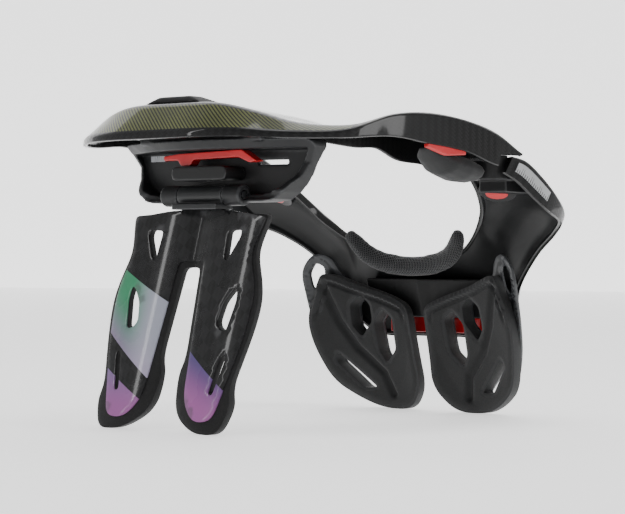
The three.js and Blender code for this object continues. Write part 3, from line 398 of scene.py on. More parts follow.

# %% [markdown]
# ### Moulded nylon
# The tray under the table, the hinge, the shoulder hubs and the plates behind the chest pads are moulded
# nylon with a fine matte grain. A photographed texture would need a flat layout of every part. The grain
# group needs none, and keeps one scale on all of them. On the sharp edges the colour turns paler, a painted
# highlight, and the roughness drops.


# %% Material: matte moulded nylon
def nylon_material(name, colour, highlight_colour, roughness=0.48):
    material, t, shader = new_material(name, Specular_IOR_Level=0.35)
    grain = t.place(GRAIN, Scale=1100.0, Bump=0.35, Depth=0.00015)
    edge = t.place(EDGE_BEND, Reach=0.57)
    patches = t.ramp(grain.outputs["Mottle"], 0.35, 0.7, 0.0, 0.5)
    base = t.mix(patches, colour, tuple(1.35 * c for c in colour[:3]) + (1,))
    # a paler colour painted on the sharp edges as a highlight
    t.feed(shader["Base Color"], t.mix(t.math("MULTIPLY", edge.outputs[0], 0.7), base, highlight_colour))
    rough = t.ramp(grain.outputs["Mottle"], 0.3, 0.7, roughness - 0.06, roughness + 0.08)
    t.feed(shader["Roughness"], t.math("SUBTRACT", rough, t.math("MULTIPLY", edge.outputs[0], 0.1)))
    t.feed(shader["Normal"], grain.outputs["Normal"])
    return material


# The second colour of each nylon is the painted highlight on its sharp edges.
HOUSING_NYLON = nylon_material("housing nylon", (0.014, 0.0145, 0.0155, 1), (0.07, 0.073, 0.077, 1))
HINGE_NYLON = nylon_material("hinge nylon", (0.020, 0.021, 0.022, 1), (0.09, 0.093, 0.097, 1), 0.34)
BLACK_NYLON = nylon_material("black nylon", (0.009, 0.009, 0.0095, 1), (0.045, 0.047, 0.05, 1), 0.42)
BRIDGE_NYLON = nylon_material("bridge nylon", (0.004, 0.004, 0.0043, 1), (0.02, 0.02, 0.021, 1), 0.6)
SATIN_BLACK = nylon_material("satin inner face", (0.008, 0.0083, 0.0087, 1), (0.05, 0.052, 0.054, 1), 0.33)
SHELL_NYLON = nylon_material("shell nylon", (0.012, 0.0125, 0.0135, 1), (0.07, 0.073, 0.077, 1), 0.34)
print("materials:", HOUSING_NYLON.name, "and four more of its kind, and", SATIN_BLACK.name)

# %% [markdown]
# ### Moulded foam and rubber
# The chest pads, the shoulder foams and the backing of the strut are closed-cell foam and rubber: dull,
# softly mottled, with cells too small to model. They show only in a bump. A little sheen gives the soft
# pale edge that foam has against the light, and a paler colour on the sharp edges is a painted highlight.


# %% Material: moulded foam
def painted_edge_highlight(tree, share, base, pale):
    """Paints a highlight: mixes a paler colour into a base colour where the mesh bends sharply."""
    edge = tree.place(EDGE_BEND, Reach=0.6)
    return tree.mix(tree.math("MULTIPLY", edge.outputs[0], share), base, pale)


def foam_material(name, colour, pale):
    material, t, shader = new_material(name, Specular_IOR_Level=0.3, Sheen_Weight=0.12, Sheen_Roughness=0.5)
    grain = t.place(GRAIN, Scale=1500.0, Bump=0.5, Depth=0.00025)
    base = t.mix(t.ramp(grain.outputs["Mottle"], 0.3, 0.75), colour, pale)
    # the foam's sharp edges get a painted highlight in a paler grey
    t.feed(shader["Base Color"], painted_edge_highlight(t, 0.25, base, (0.05, 0.051, 0.053, 1)))
    t.feed(shader["Roughness"], t.ramp(grain.outputs["Fine"], 0.3, 0.7, 0.62, 0.78))
    t.feed(shader["Normal"], grain.outputs["Normal"])
    return material


PAD_FOAM = foam_material("pad foam", (0.007, 0.0073, 0.0076, 1), (0.012, 0.0124, 0.0128, 1))
ARM_FOAM = foam_material("arm foam", (0.010, 0.0105, 0.011, 1), (0.018, 0.0185, 0.019, 1))
RUBBER = foam_material("strut rubber", (0.006, 0.006, 0.0063, 1), (0.011, 0.011, 0.0115, 1))
print("materials:", PAD_FOAM.name, ",", ARM_FOAM.name, "and", RUBBER.name)

# %% [markdown]
# ### Red catches and steel pins
# Every part that a hand works is red, so that it is found at a glance. It is a glossier plastic than the
# nylon, with a thin coat. The pins are turned on a lathe, which leaves fine rings round them. The rings
# are one noise squeezed hard along the width of the brace, which is how the pin of the hinge lies.

# %% Material: red moulded plastic
RED_PLASTIC, t, shader = new_material("red plastic", Coat_Weight=0.3, Coat_Roughness=0.2)
grain = t.place(GRAIN, Scale=700.0, Bump=0.2)
red = t.mix(t.ramp(grain.outputs["Mottle"], 0.3, 0.7), (0.50, 0.004, 0.008, 1), (0.60, 0.008, 0.013, 1))
# the red's sharp edges get a painted highlight in a paler red
t.feed(shader["Base Color"], painted_edge_highlight(t, 0.3, red, (0.9, 0.14, 0.11, 1)))
t.feed(shader["Roughness"], t.ramp(grain.outputs["Fine"], 0.3, 0.7, 0.3, 0.4))
t.feed(shader["Normal"], grain.outputs["Normal"])
print("material:", RED_PLASTIC.name)

# %% Material: turned steel
STEEL, t, shader = new_material("turned steel", Metallic=1.0)
place = t.node("ShaderNodeTexCoord").outputs["Object"]
stretched = t.node("ShaderNodeMapping", i0=place, Scale=(4000.0, 60.0, 60.0))
turning = t.node("ShaderNodeTexNoise", Vector=stretched.outputs[0], Scale=1.0, Detail=2.0).outputs[0]
t.feed(shader["Base Color"], t.mix(turning, (0.28, 0.29, 0.31, 1), (0.42, 0.43, 0.45, 1)))
t.feed(shader["Roughness"], t.ramp(turning, 0.3, 0.7, 0.25, 0.42))
t.feed(shader["Normal"], t.node("ShaderNodeBump", Height=turning, Strength=0.3, Distance=0.0001).outputs[0])
print("material:", STEEL.name)

# %% [markdown]
# ### Mesh textile
# The roll at the neck wears a black spacer mesh with rows of small holes. Modelled holes would take
# millions of faces, and a weave of straight threads would look like canvas. The borders of Voronoi cells
# that are nearly regular make the cords, and the cells make the dark holes.

# %% Material: mesh over foam
MESH_TEXTILE, t, shader = new_material(
    "mesh textile", Sheen_Weight=0.35, Sheen_Roughness=0.4, Specular_IOR_Level=0.25
)
cells = t.node(
    "ShaderNodeTexVoronoi", {"feature": "DISTANCE_TO_EDGE", "voronoi_dimensions": "2D"},
    Vector=cloth_place(t), Scale=620.0, Randomness=0.15,
)
grain = t.place(GRAIN, Scale=2500.0, Bump=0.4)
cord = t.ramp(cells.outputs["Distance"], 0.08, 0.22, 1.0, 0.0)
t.feed(shader["Base Color"], t.mix(cord, (0.004, 0.004, 0.0045, 1), (0.03, 0.031, 0.033, 1)))
t.feed(shader["Roughness"], t.ramp(cord, 0, 1, 0.85, 0.6))
bump = t.node("ShaderNodeBump", Height=cord, Strength=0.7, Distance=0.0005)
t.feed(bump.inputs["Normal"], grain.outputs["Normal"])
t.feed(shader["Normal"], bump.outputs[0])
print("material:", MESH_TEXTILE.name)

# %% [markdown]
# ### Scale with tick marks
# A silver strip at each shoulder carries a plain scale, with every fifth tick longer. The ticks are
# printed, so they are drawn in the material: the fraction of the length over the spacing repeats from
# tick to tick, and a comparison turns it into marks.

# %% Material: silver scale
TICK_SPACING = 0.0022
SCALE_METAL, t, shader = new_material("silver scale")
split = t.node("ShaderNodeSeparateXYZ", Vector=cloth_place(t))
pace = t.math("FRACT", t.math("DIVIDE", split.outputs[0], TICK_SPACING))
tick = t.math("LESS_THAN", t.math("ABSOLUTE", t.math("SUBTRACT", pace, 0.5)), 0.14)
fifth = t.math("FRACT", t.math("DIVIDE", t.math("ADD", split.outputs[0], TICK_SPACING / 2), 5 * TICK_SPACING))
long_tick = t.math("LESS_THAN", fifth, 0.2)
reach = t.math("ADD", 0.34, t.math("MULTIPLY", long_tick, 0.3))
inside = t.math("LESS_THAN", split.outputs[1], reach)
mark = t.math("MULTIPLY", tick, inside)
grain = t.place(GRAIN, Scale=1200.0, Bump=0.2)
silver = t.mix(grain.outputs["Mottle"], (0.55, 0.56, 0.57, 1), (0.72, 0.73, 0.74, 1))
t.feed(shader["Base Color"], t.mix(mark, silver, (0.015, 0.015, 0.016, 1)))
t.feed(shader["Metallic"], t.math("SUBTRACT", 0.75, t.math("MULTIPLY", mark, 0.75)))
t.feed(shader["Roughness"], t.ramp(grain.outputs["Fine"], 0.3, 0.7, 0.3, 0.42))
t.feed(shader["Normal"], grain.outputs["Normal"])
print("material:", SCALE_METAL.name)

# %% [markdown]
# ### The printed strut
# The strut's laminate has large lozenges under its lacquer and blocks of colour that fade from one hue
# to the next, cut off along slanting lines. The plate lies almost flat, so the colour is laid out in
# width and height, in metres. One helper tells on which side of a slanting line a point lies.


# %% Material: printed carbon of the strut
PRINTED_CARBON, t, shader = new_material(
    "printed carbon", Coat_Weight=0.8, Coat_Roughness=0.06, Coat_IOR=1.45, Specular_IOR_Level=0.2
)
split = t.node("ShaderNodeSeparateXYZ", Vector=cloth_place(t))
width, height = split.outputs[0], split.outputs[1]


def below_line(tree, x1, z1, x2, z2):
    """1 below the line through two points given in millimetres, and 0 above it."""
    slope = (z2 - z1) / (x2 - x1)
    line = tree.math("MULTIPLY_ADD", width, slope, (z1 - slope * x1) / 1000)
    return tree.ramp(tree.math("SUBTRACT", line, height), -0.0002, 0.0002)


left = t.ramp(width, -0.0001, 0.0001)
lozenge = t.place(TWILL, Cloth=cloth_place(t), Thread=0.0085, Turn=math.radians(58), Step=2.0)
fine = t.place(TWILL, Cloth=cloth_place(t), Thread=0.0016, Turn=math.radians(45))
grain = t.place(GRAIN, Scale=500.0, Bump=0.15)
black = t.mix(lozenge.outputs["Warp on top"], (0.006, 0.006, 0.0065, 1), (0.0125, 0.0125, 0.0135, 1))
black = t.mix(t.math("MULTIPLY", fine.outputs["Warp on top"], 0.25), black, (0.02, 0.021, 0.022, 1))
fade_left = t.ramp(t.math("SUBTRACT", height, t.math("MULTIPLY", width, 0.75)), 0.004, 0.052)
green_lilac = t.mix(fade_left, (0.36, 0.22, 0.42, 1), (0.055, 0.30, 0.15, 1))
fade_inner = t.ramp(width, 0.050, 0.026)
green_lilac = t.mix(t.math("MULTIPLY", fade_inner, 0.75), green_lilac, (0.50, 0.44, 0.60, 1))
foot_fade = t.ramp(height, 0.012, 0.046)
foot_left = t.mix(foot_fade, (0.38, 0.13, 0.36, 1), (0.22, 0.16, 0.34, 1))
fade_right = t.ramp(t.math("ADD", height, t.math("MULTIPLY", width, -0.4)), 0.030, 0.062)
foot_right = t.mix(fade_right, (0.40, 0.13, 0.37, 1), (0.10, 0.075, 0.22, 1))
block = t.math("SUBTRACT", below_line(t, 60.5, 110, 28, 94.5), below_line(t, 63, 65.3, 21.7, 37.3))
foot = below_line(t, 61, 42.5, 22, 21)
on_left = t.mix(foot, t.mix(block, black, green_lilac), foot_left)
on_right = t.mix(below_line(t, -13.5, 57, -43, 38), black, foot_right)
printed = t.mix(left, on_right, on_left)
# the strut's sharp edges get a painted highlight in a pale grey
t.feed(shader["Base Color"], painted_edge_highlight(t, 0.5, printed, (0.10, 0.10, 0.105, 1)))
t.feed(shader["Roughness"], t.ramp(grain.outputs["Mottle"], 0.3, 0.7, 0.24, 0.36))
t.feed(shader["Normal"], grain.outputs["Normal"])
print("material:", PRINTED_CARBON.name)

# %% [markdown]
# ## The collar's two shells
# Each half of the collar is a stiff sheet, three millimetres thick, folded along a few lines: the lower
# end of the side wall, the outer edge, the ridge, the rim of the neck opening and a short skirt inside
# it. The same lines steer the fine surface here. A smooth curve runs along each line from one shoulder
# to the other, and between the lines the surface is straight, with each fold rounded as a mould
# would round it.


# %% A smooth rail through stations, mirrored about the middle
def rail(points, count):
    points = np.asarray(points, float)
    whole = np.vstack([points[:0:-1] * (-1, 1, 1), points])
    first, last = 2 * whole[0] - whole[1], 2 * whole[-1] - whole[-2]
    padded = np.vstack([first, whole, last])
    place = np.linspace(0, len(whole) - 1, count)
    low = np.minimum(place.astype(int), len(whole) - 2)
    share = (place - low)[:, None]
    p0, p1, p2, p3 = (padded[low + k] for k in range(4))
    gap = [np.sqrt(np.linalg.norm(b - a, axis=1))[:, None] for a, b in ((p0, p1), (p1, p2), (p2, p3))]
    start = (p1 - p0) / gap[0] - (p2 - p0) / (gap[0] + gap[1]) + (p2 - p1) / gap[1]
    end = (p2 - p1) / gap[1] - (p3 - p1) / (gap[1] + gap[2]) + (p3 - p2) / gap[2]
    start, end = start * gap[1], end * gap[1]
    cubic = 2 * p1 - 2 * p2 + start + end
    square = -3 * p1 + 3 * p2 - 2 * start - end
    return ((cubic * share + square) * share + start) * share + p1


def folded_section(lines, rounds, spacing):
    """Columns of points across the sheet: straight runs between lines, with each fold rounded."""
    columns = [lines[0]]
    marks = [0]
    here = lines[0]
    for k in range(1, len(lines)):
        corner = lines[k]
        if k + 1 < len(lines):
            back, on = lines[k - 1] - corner, lines[k + 1] - corner
            back_length = np.linalg.norm(back, axis=1)[:, None]
            on_length = np.linalg.norm(on, axis=1)[:, None]
            enter = corner + back * np.minimum(rounds[k] / back_length, 0.45)
            leave = corner + on * np.minimum(rounds[k] / on_length, 0.45)
        else:
            enter = corner
        run = np.median(np.linalg.norm(enter - here, axis=1))
        steps = max(1, int(round(run / spacing)))
        columns += [here + (enter - here) * (i / steps) for i in range(1, steps + 1)]
        if k + 1 < len(lines):
            for share in (0.25, 0.5, 0.75, 1.0):
                columns.append((1 - share) ** 2 * enter + 2 * share * (1 - share) * corner + share**2 * leave)
            marks.append(len(columns) - 3)
            here = leave
    marks.append(len(columns) - 1)
    return np.stack(columns, axis=1), marks


print("helpers ready: rail and folded_section")


# %% [markdown]
# A sheet needs two faces and a border. The back face is the front face moved along its own normals,
# and a half-round bead closes the border, as a trimmed and polished laminate has. The distances run
# along and across the sheet are kept on the mesh as cloth coordinates for the weave.


# %% A sheet of even thickness from a grid of points
def paint_faces(thing, grid, rows, columns, index, back=False):
    """Gives another material slot to a block of the sheet's faces, on its front or its back."""
    width = grid.shape[1] - 1
    for i in range(*rows):
        for j in range(*columns):
            thing.data.polygons[2 * (i * width + j) + int(back)].material_index = index


def grid_normals(grid):
    along = np.gradient(grid, axis=0)
    over = np.gradient(grid, axis=1)
    normal = np.cross(along, over)
    return normal / np.linalg.norm(normal, axis=2)[..., None]


def border_places(rows, columns):
    places = [(i, 0) for i in range(rows - 1)]
    places += [(rows - 1, j) for j in range(columns - 1)]
    places += [(i, columns - 1) for i in range(rows - 1, 0, -1)]
    places += [(0, j) for j in range(columns - 1, 0, -1)]
    return places


BEAD = 0.22  # how far the bead on a border stands out, as a share of the thickness


def sheet_object(name, grid, thickness):
    """A sheet between a grid and its copy, moved along the grid's normals by the thickness."""
    rows, columns, _ = grid.shape
    under = grid + grid_normals(grid) * thickness
    points = [grid.reshape(-1, 3), under.reshape(-1, 3)]
    shift = rows * columns
    faces = []
    for i in range(rows - 1):
        for j in range(columns - 1):
            a = i * columns + j
            quad = (a, a + columns, a + columns + 1, a + 1)
            faces.append(quad)
            faces.append(tuple(shift + k for k in reversed(quad)))
    places = border_places(rows, columns)
    top = np.array([grid[p] for p in places])
    low = np.array([under[p] for p in places])
    inner = np.array([grid[min(max(i, 1), rows - 2), min(max(j, 1), columns - 2)] for i, j in places])
    outward = top - inner
    outward /= np.linalg.norm(outward, axis=1)[:, None]
    rings = [[i * columns + j for i, j in places]]
    count = 2 * shift
    for share, out in ((0.2, 0.7), (0.5, 1.0), (0.8, 0.7)):
        points.append(top + (low - top) * share + outward * thickness * BEAD * out)
        rings.append(list(range(count, count + len(places))))
        count += len(places)
    rings.append([shift + k for k in rings[0]])
    for one, two in zip(rings, rings[1:]):
        for k in range(len(places)):
            m = (k + 1) % len(places)
            faces.append((one[k], one[m], two[m], two[k]))
    thing = add_object(name, np.vstack(points), faces)
    length = np.zeros((rows, columns))
    length[1:] = np.cumsum(np.linalg.norm(np.diff(grid, axis=0), axis=2), axis=0)
    width = np.zeros((rows, columns))
    width[:, 1:] = np.cumsum(np.linalg.norm(np.diff(grid, axis=1), axis=2), axis=1)
    middle = length[:, columns // 2][:, None] * np.ones(columns)
    cloth = np.stack([middle, width, np.zeros_like(width)], axis=2).reshape(-1, 3) / 1000
    edge = cloth[rings[0]]
    set_cloth(thing, np.vstack([cloth, cloth, edge, edge, edge]))
    return thing


def set_cloth(thing, places):
    """Keeps a place on the cloth, in metres, for each point of the mesh."""
    layers = thing.data.attributes
    layer = layers.get(CLOTH) or layers.new(CLOTH, "FLOAT_VECTOR", "POINT")
    layer.data.foreach_set("vector", np.asarray(places, np.float32).ravel())


def finish_piece(thing, body, slot, materials, *nodes):
    """Gives a piece its materials and its body, and hides the CAD nodes that it stands for."""
    for k, material in enumerate(materials if isinstance(materials, tuple) else (materials,)):
        if k < len(thing.data.materials):
            thing.data.materials[k] = material
        else:
            thing.data.materials.append(material)
    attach(thing, body)
    if nodes:
        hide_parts(*nodes)
    print(f"{thing.name}: {len(thing.data.polygons)} faces")


print("helpers ready: paint_faces, sheet_object, set_cloth and finish_piece")


# %% [markdown]
# ### The rear half
# The rear shell is a table behind the head, with an arm to each shoulder. The photograph shows its back
# face in green and black cloth, the arms in black, a dark lip along the lower edge and crisp bright
# folds. Stations run from the middle of the back to the tip of an arm: side, reach and rise are shares
# of the half width, the reach and the rise, and drop is the depth of the wall or skirt below the line.

# %% Lines of the rear shell
REAR_EDGE = [
    (0.000, 1.000, 0.34, 4), (0.296, 0.994, 0.34, 4), (0.490, 0.944, 0.33, 4), (0.645, 0.835, 0.30, 4),
    (0.790, 0.630, 0.36, 5), (0.860, 0.395, 0.72, 14), (0.905, 0.210, 0.79, 20), (0.948, 0.000, 0.69, 21),
    (0.980, -0.190, 0.42, 21), (0.993, -0.345, 0.05, 9),
]
REAR_RIDGE = [
    (0.000, 0.914, 1.00, 0), (0.289, 0.901, 0.96, 0), (0.461, 0.855, 0.77, 0), (0.618, 0.750, 0.52, 0),
    (0.763, 0.567, 0.50, 0), (0.836, 0.365, 0.77, 0), (0.875, 0.195, 0.84, 0), (0.914, -0.010, 0.74, 0),
    (0.945, -0.195, 0.52, 0), (0.955, -0.345, 0.11, 0),
]
REAR_RIM = [
    (0.000, 0.543, 0.84, 13), (0.224, 0.531, 0.84, 13), (0.382, 0.481, 0.72, 13), (0.487, 0.407, 0.56, 12),
    (0.553, 0.309, 0.48, 12), (0.572, 0.198, 0.64, 17), (0.579, 0.062, 0.60, 23), (0.579, -0.097, 0.48, 21),
    (0.586, -0.255, 0.22, 15), (0.599, -0.360, 0.02, 6),
]


def rear_point(row):
    side, reach, rise, _ = row
    return side * HALF_WIDTH, reach * (REAR_REACH if reach > 0 else FRONT_REACH), SHOULDER + rise * RISE


def rear_line(rows, lowered, count):
    points = np.array([rear_point(row) for row in rows])
    if lowered:
        points[:, 2] -= [row[3] for row in rows]
    return rail(points, count)


REAR_COUNT = 217
SPACING = 2.4
SEAM = SHOULDER + 0.3
REAR_ROUNDS = (0, 2.2, 4.5, 3.0, 0)  # how far each fold's rounding reaches, in millimetres
rear_lines = [
    rear_line(REAR_EDGE, True, REAR_COUNT), rear_line(REAR_EDGE, False, REAR_COUNT),
    rear_line(REAR_RIDGE, False, REAR_COUNT), rear_line(REAR_RIM, False, REAR_COUNT),
    rear_line(REAR_RIM, True, REAR_COUNT),
]
for line in (rear_lines[0], rear_lines[4]):
    near = np.hypot(np.abs(line[:, 0]) - PIVOT[0], line[:, 1] - PIVOT[1]) < SEAT_RADIUS
    line[near, 2] = np.maximum(line[near, 2], SEAM)
rear_grid, rear_marks = folded_section(rear_lines, REAR_ROUNDS, SPACING)
print("rear shell grid:", rear_grid.shape, "with its folds at columns", rear_marks)

# %% [markdown]
# The shoulder hubs of the front half sit in round seats below the arm tips. Near them the lower lines
# of the sheet were lifted to the seam, and the solid tips inside it are cut by the same cylinders as in
# the CAD model, with a Boolean modifier that is applied.


# %% The rear shell and the cutter for its seats
def cylinder_cutter(x, y, low, high, radius, sides=64):
    turns = [2 * math.pi * k / sides for k in range(sides)]
    ring = [(x + radius * math.cos(turn), y + radius * math.sin(turn)) for turn in turns]
    points = [(a, b, low) for a, b in ring] + [(a, b, high) for a, b in ring]
    faces = [tuple(range(sides - 1, -1, -1)), tuple(range(sides, 2 * sides))]
    faces += [(k, (k + 1) % sides, sides + (k + 1) % sides, sides + k) for k in range(sides)]
    return add_object("cutter", points, faces)


def cut_seats(thing):
    for side in SIDES.values():
        cutter = cylinder_cutter(side * PIVOT[0], PIVOT[1], low=100, high=SEAM, radius=SEAT_RADIUS)
        cut = thing.modifiers.new("seat", "BOOLEAN")
        cut.operation = "DIFFERENCE"
        cut.solver = "EXACT"
        cut.object = cutter
        settle(thing)
        bpy.data.objects.remove(cutter)
    crease_edges(thing, angle=42)


GREEN_STATIONS = 4.05
REAR_STATIONS = len(REAR_EDGE) - 1
TOP_COLUMN = 20  # a column of the grid on the upper face, to tell which way the grid's normals point
middle = (REAR_COUNT - 1) // 2
upward = grid_normals(rear_grid)[middle, TOP_COLUMN, 2] > 0
rear_shell = sheet_object("rear_shell", rear_grid, -WALL if upward else WALL)
for material in (BLACK_CARBON, GREEN_CARBON):
    rear_shell.data.materials.append(material)
green_rows = int(round(GREEN_STATIONS * middle / REAR_STATIONS))
green_columns = (rear_marks[1] + 2, rear_marks[2] - 1)
paint_faces(rear_shell, rear_grid, (middle - green_rows, middle + green_rows), green_columns, 1)
finish_piece(rear_shell, "rear_half", "table_carbon", (BLACK_CARBON, GREEN_CARBON), "rear_frame")

# %% The solid tips of the arms
TIP_FROM = 7.5  # stations from the middle of the back
TIP_SHRINK = 0.06
for name, side in SIDES.items():
    start = middle + side * int(round(middle * TIP_FROM / REAR_STATIONS))
    end = middle + side * (middle - 1)
    rings = [rear_grid[i] for i in range(start, end + side, side)]
    rings = [ring + (ring.mean(axis=0) - ring) * TIP_SHRINK for ring in rings]
    count = rings[0].shape[0]
    faces = [tuple(range(count)), tuple(range((len(rings) - 1) * count, len(rings) * count))]
    for i in range(len(rings) - 1):
        for j in range(count):
            k = (j + 1) % count
            faces.append((i * count + j, i * count + k, (i + 1) * count + k, (i + 1) * count + j))
    tip = add_object(f"arm_tip_{name}", np.vstack(rings), faces, crease=30)
    cut_seats(tip)
    finish_piece(tip, "rear_half", "table_carbon", BLACK_NYLON)

# %% [markdown]
# ### The front half
# The front shell runs from one shoulder down across the chest to the other. Its outer face bulges like
# a bow, and from behind the photograph looks into its hollow side, which is satin black with a paler
# rounded rim along the neck opening.

# %% Lines of the front shell
FRONT_EDGE = [
    (0.000, 1.000, 0.320, 4, 0.8), (0.197, 0.994, 0.320, 4, 0.8), (0.395, 0.958, 0.332, 5, 0.8),
    (0.526, 0.909, 0.420, 6, 1.0), (0.592, 0.873, 0.530, 5, 1.2), (0.737, 0.818, 0.653, 4, 1.2),
    (0.888, 0.758, 0.736, 5, 1.2), (0.993, 0.673, 0.793, 8, 1.1), (1.020, 0.582, 0.850, 14, 0.9),
    (1.016, 0.467, 0.925, 18, 0.7), (1.004, 0.364, 0.980, 18, 0.3), (0.993, 0.275, 0.996, 15, 0.0),
]
FRONT_RIM = [
    (0.000, 0.800, 0.627, 5), (0.158, 0.794, 0.637, 5), (0.303, 0.770, 0.672, 5), (0.408, 0.721, 0.725, 5),
    (0.474, 0.679, 0.772, 6), (0.513, 0.648, 0.803, 6), (0.543, 0.618, 0.837, 6), (0.563, 0.582, 0.868, 6),
    (0.582, 0.539, 0.899, 6), (0.599, 0.491, 0.927, 6), (0.609, 0.448, 0.950, 6), (0.618, 0.409, 0.964, 6),
]


def front_point(row):
    return row[0] * HALF_WIDTH, -row[1] * FRONT_REACH, row[2] * SHOULDER


BOWS = ((0.14, 0.6), (0.4, 1), (0.7, 0.85))  # share of the way to the rim, share of the full bulge


def front_lines(count):
    edge = np.array([front_point(row) for row in FRONT_EDGE])
    rim = np.array([front_point(row) for row in FRONT_RIM])
    last = len(edge) - 1
    along = np.array([edge[min(i + 1, last)] - edge[max(i - 1, 0)] for i in range(last + 1)])
    normal = np.cross(along, rim - edge)
    normal /= np.linalg.norm(normal, axis=1)[:, None]
    bulge = np.array([row[4] for row in FRONT_EDGE])[:, None] * BULGE
    inward = np.array((0, 0.6, -0.8))
    wall = edge + inward * np.array([row[3] for row in FRONT_EDGE])[:, None]
    skirt = rim + inward * np.array([row[3] for row in FRONT_RIM])[:, None]
    bowed = [edge + (rim - edge) * share + normal * bulge * height for share, height in BOWS]
    return [rail(line, count) for line in (wall, edge, *bowed, rim, skirt)]


FRONT_COUNT = 199
FRONT_ROUNDS = (0, 2.2, 7, 12, 12, 2.5, 0)
front_middle = (FRONT_COUNT - 1) // 2
front_grid, front_marks = folded_section(front_lines(FRONT_COUNT), FRONT_ROUNDS, SPACING)
print("front shell grid:", front_grid.shape, "with its folds at columns", front_marks)
outward = grid_normals(front_grid)[front_middle, TOP_COLUMN, 1] < 0
front_shell = sheet_object("front_shell", front_grid, -WALL if outward else WALL)
for material in (BLACK_CARBON, SATIN_BLACK):
    front_shell.data.materials.append(material)
paint_faces(front_shell, front_grid, (0, FRONT_COUNT - 1), (0, front_grid.shape[1] - 1), 1, back=True)
finish_piece(front_shell, "front_half", "bib_carbon", (BLACK_CARBON, SATIN_BLACK), "front_frame")

# %% [markdown]
# ## Plates cut to an outline
# The strut, the chest pads and their shells are all plates with an outline and windows. Each corner
# of an outline has its own rounding. The inside is filled by a constrained Delaunay triangulation,
# which joins the outline, the windows and a grid of inner points into neat triangles. Two functions
# then give the depth of the two faces, and a bevel rounds the rims as a router or a mould would.


# %% Rounded outlines
def rounded_outline(corners, spacing=2.0, common_round=3.0):
    """Points along a closed outline whose corners (x, z, round) are rounded."""
    count = len(corners)
    points = []
    for k, corner in enumerate(corners):
        here = np.array(corner[:2], float)
        radius = corner[2] if len(corner) > 2 else common_round
        ends = []
        for other in (corners[k - 1], corners[(k + 1) % count]):
            run = np.array(other[:2], float) - here
            length = np.linalg.norm(run)
            ends.append(here + run / length * min(radius, 0.45 * length))
        steps = max(2, int(round(radius / spacing)) + 1)
        for i in range(steps + 1):
            share = i / steps
            points.append((1 - share) ** 2 * ends[0] + 2 * share * (1 - share) * here + share**2 * ends[1])
    spread = [points[0]]
    for k, point in enumerate(points):
        after = points[(k + 1) % len(points)]
        steps = max(1, int(round(np.linalg.norm(after - point) / spacing)))
        spread += [point + (after - point) * (i / steps) for i in range(1, steps + 1)]
    kept = [spread[0]]
    for point in spread[1:-1]:
        if min(np.linalg.norm(point - kept[-1]), np.linalg.norm(point - kept[0])) > 0.3 * spacing:
            kept.append(point)
    return np.array(kept)


def scaled_corners(rows, width, height, side):
    return [(side * row[0] * width, row[1] * height, *row[2:]) for row in rows]


def distance_to_line(points, line, closed=True):
    """The distance of each point from a line of points."""
    ends = np.roll(line, -1, axis=0) if closed else line[1:]
    starts = line if closed else line[:-1]
    best = np.full(len(points), 1e9)
    for start, end in zip(starts, ends):
        run = end - start
        share = np.clip(((points - start) @ run) / (run @ run), 0, 1)
        best = np.minimum(best, np.linalg.norm(points - start - share[:, None] * run, axis=1))
    return best


def smooth_share(value, low, high):
    """0 below low, 1 above high, and a smooth step between them."""
    share = np.clip((value - low) / (high - low), 0, 1)
    return share * share * (3 - 2 * share)


def inside_outline(points, line):
    x, z = points[:, 0], points[:, 1]
    ends = np.roll(line, -1, axis=0)
    crossings = np.zeros(len(points), int)
    for (x1, z1), (x2, z2) in zip(line, ends):
        if z1 != z2:
            crossings += ((z1 > z) != (z2 > z)) & (x < x1 + (z - z1) * (x2 - x1) / (z2 - z1))
    return crossings % 2 == 1


print("helpers ready: rounded_outline, scaled_corners, distance_to_line, smooth_share and inside_outline")


# %% A plate between two faces
ROW_SHARE = 0.866  # even triangles lie in rows this share of a step apart
CLEAR_SHARE = 0.75  # inner points keep this share of a step away from every border


def plate_object(name, outline, holes, rear_y, front_y, step, bevel, segments=2):
    """rear_y and front_y take points (x, z) and give the y of the two faces, all in millimetres."""
    rings = [outline, *holes]
    low, high = outline.min(axis=0), outline.max(axis=0)
    columns = np.arange(low[0], high[0], step)
    rows = np.arange(low[1], high[1], step * ROW_SHARE)
    grid = np.array([(x + (step / 2) * (k % 2), z) for k, z in enumerate(rows) for x in columns])
    keep = inside_outline(grid, outline) & (distance_to_line(grid, outline) > CLEAR_SHARE * step)
    for hole in holes:
        keep &= ~inside_outline(grid, hole) & (distance_to_line(grid, hole) > CLEAR_SHARE * step)
    flat = np.vstack([*rings, grid[keep]])
    edges = []
    first = 0
    for ring in rings:
        edges += [(first + k, first + (k + 1) % len(ring)) for k in range(len(ring))]
        first += len(ring)
    corners, _, triangles, *_ = delaunay_2d_cdt([Vector(p) for p in flat], edges, [], 0, 1e-5)
    flat = np.array([(c.x, c.y) for c in corners])
    triangles = np.array(triangles)
    middles = flat[triangles].mean(axis=1)
    good = inside_outline(middles, outline)
    for hole in holes:
        good &= ~inside_outline(middles, hole)
    triangles = triangles[good]
    count = len(flat)
    rear = np.column_stack([flat[:, 0], rear_y(flat), flat[:, 1]])
    front = np.column_stack([flat[:, 0], front_y(flat), flat[:, 1]])
    faces = [tuple(face) for face in triangles] + [tuple(count + k for k in face[::-1]) for face in triangles]
    sides = dict.fromkeys(pair for a, b, c in triangles for pair in ((a, b), (b, c), (c, a)))
    faces += [(b, a, count + a, count + b) for a, b in sides if (b, a) not in sides]
    plate = add_object(name, np.vstack([rear, front]), faces)
    rounding = plate.modifiers.new("rim", "BEVEL")
    rounding.width = bevel / 1000
    rounding.segments = segments
    rounding.limit_method = "ANGLE"
    rounding.angle_limit = math.radians(52)
    rounding.use_clamp_overlap = True
    settle(plate)
    crease_edges(plate, angle=45)
    places = np.array([v.co for v in plate.data.vertices])
    set_cloth(plate, np.column_stack([places[:, 0], places[:, 2], np.zeros(len(places))]))
    return plate


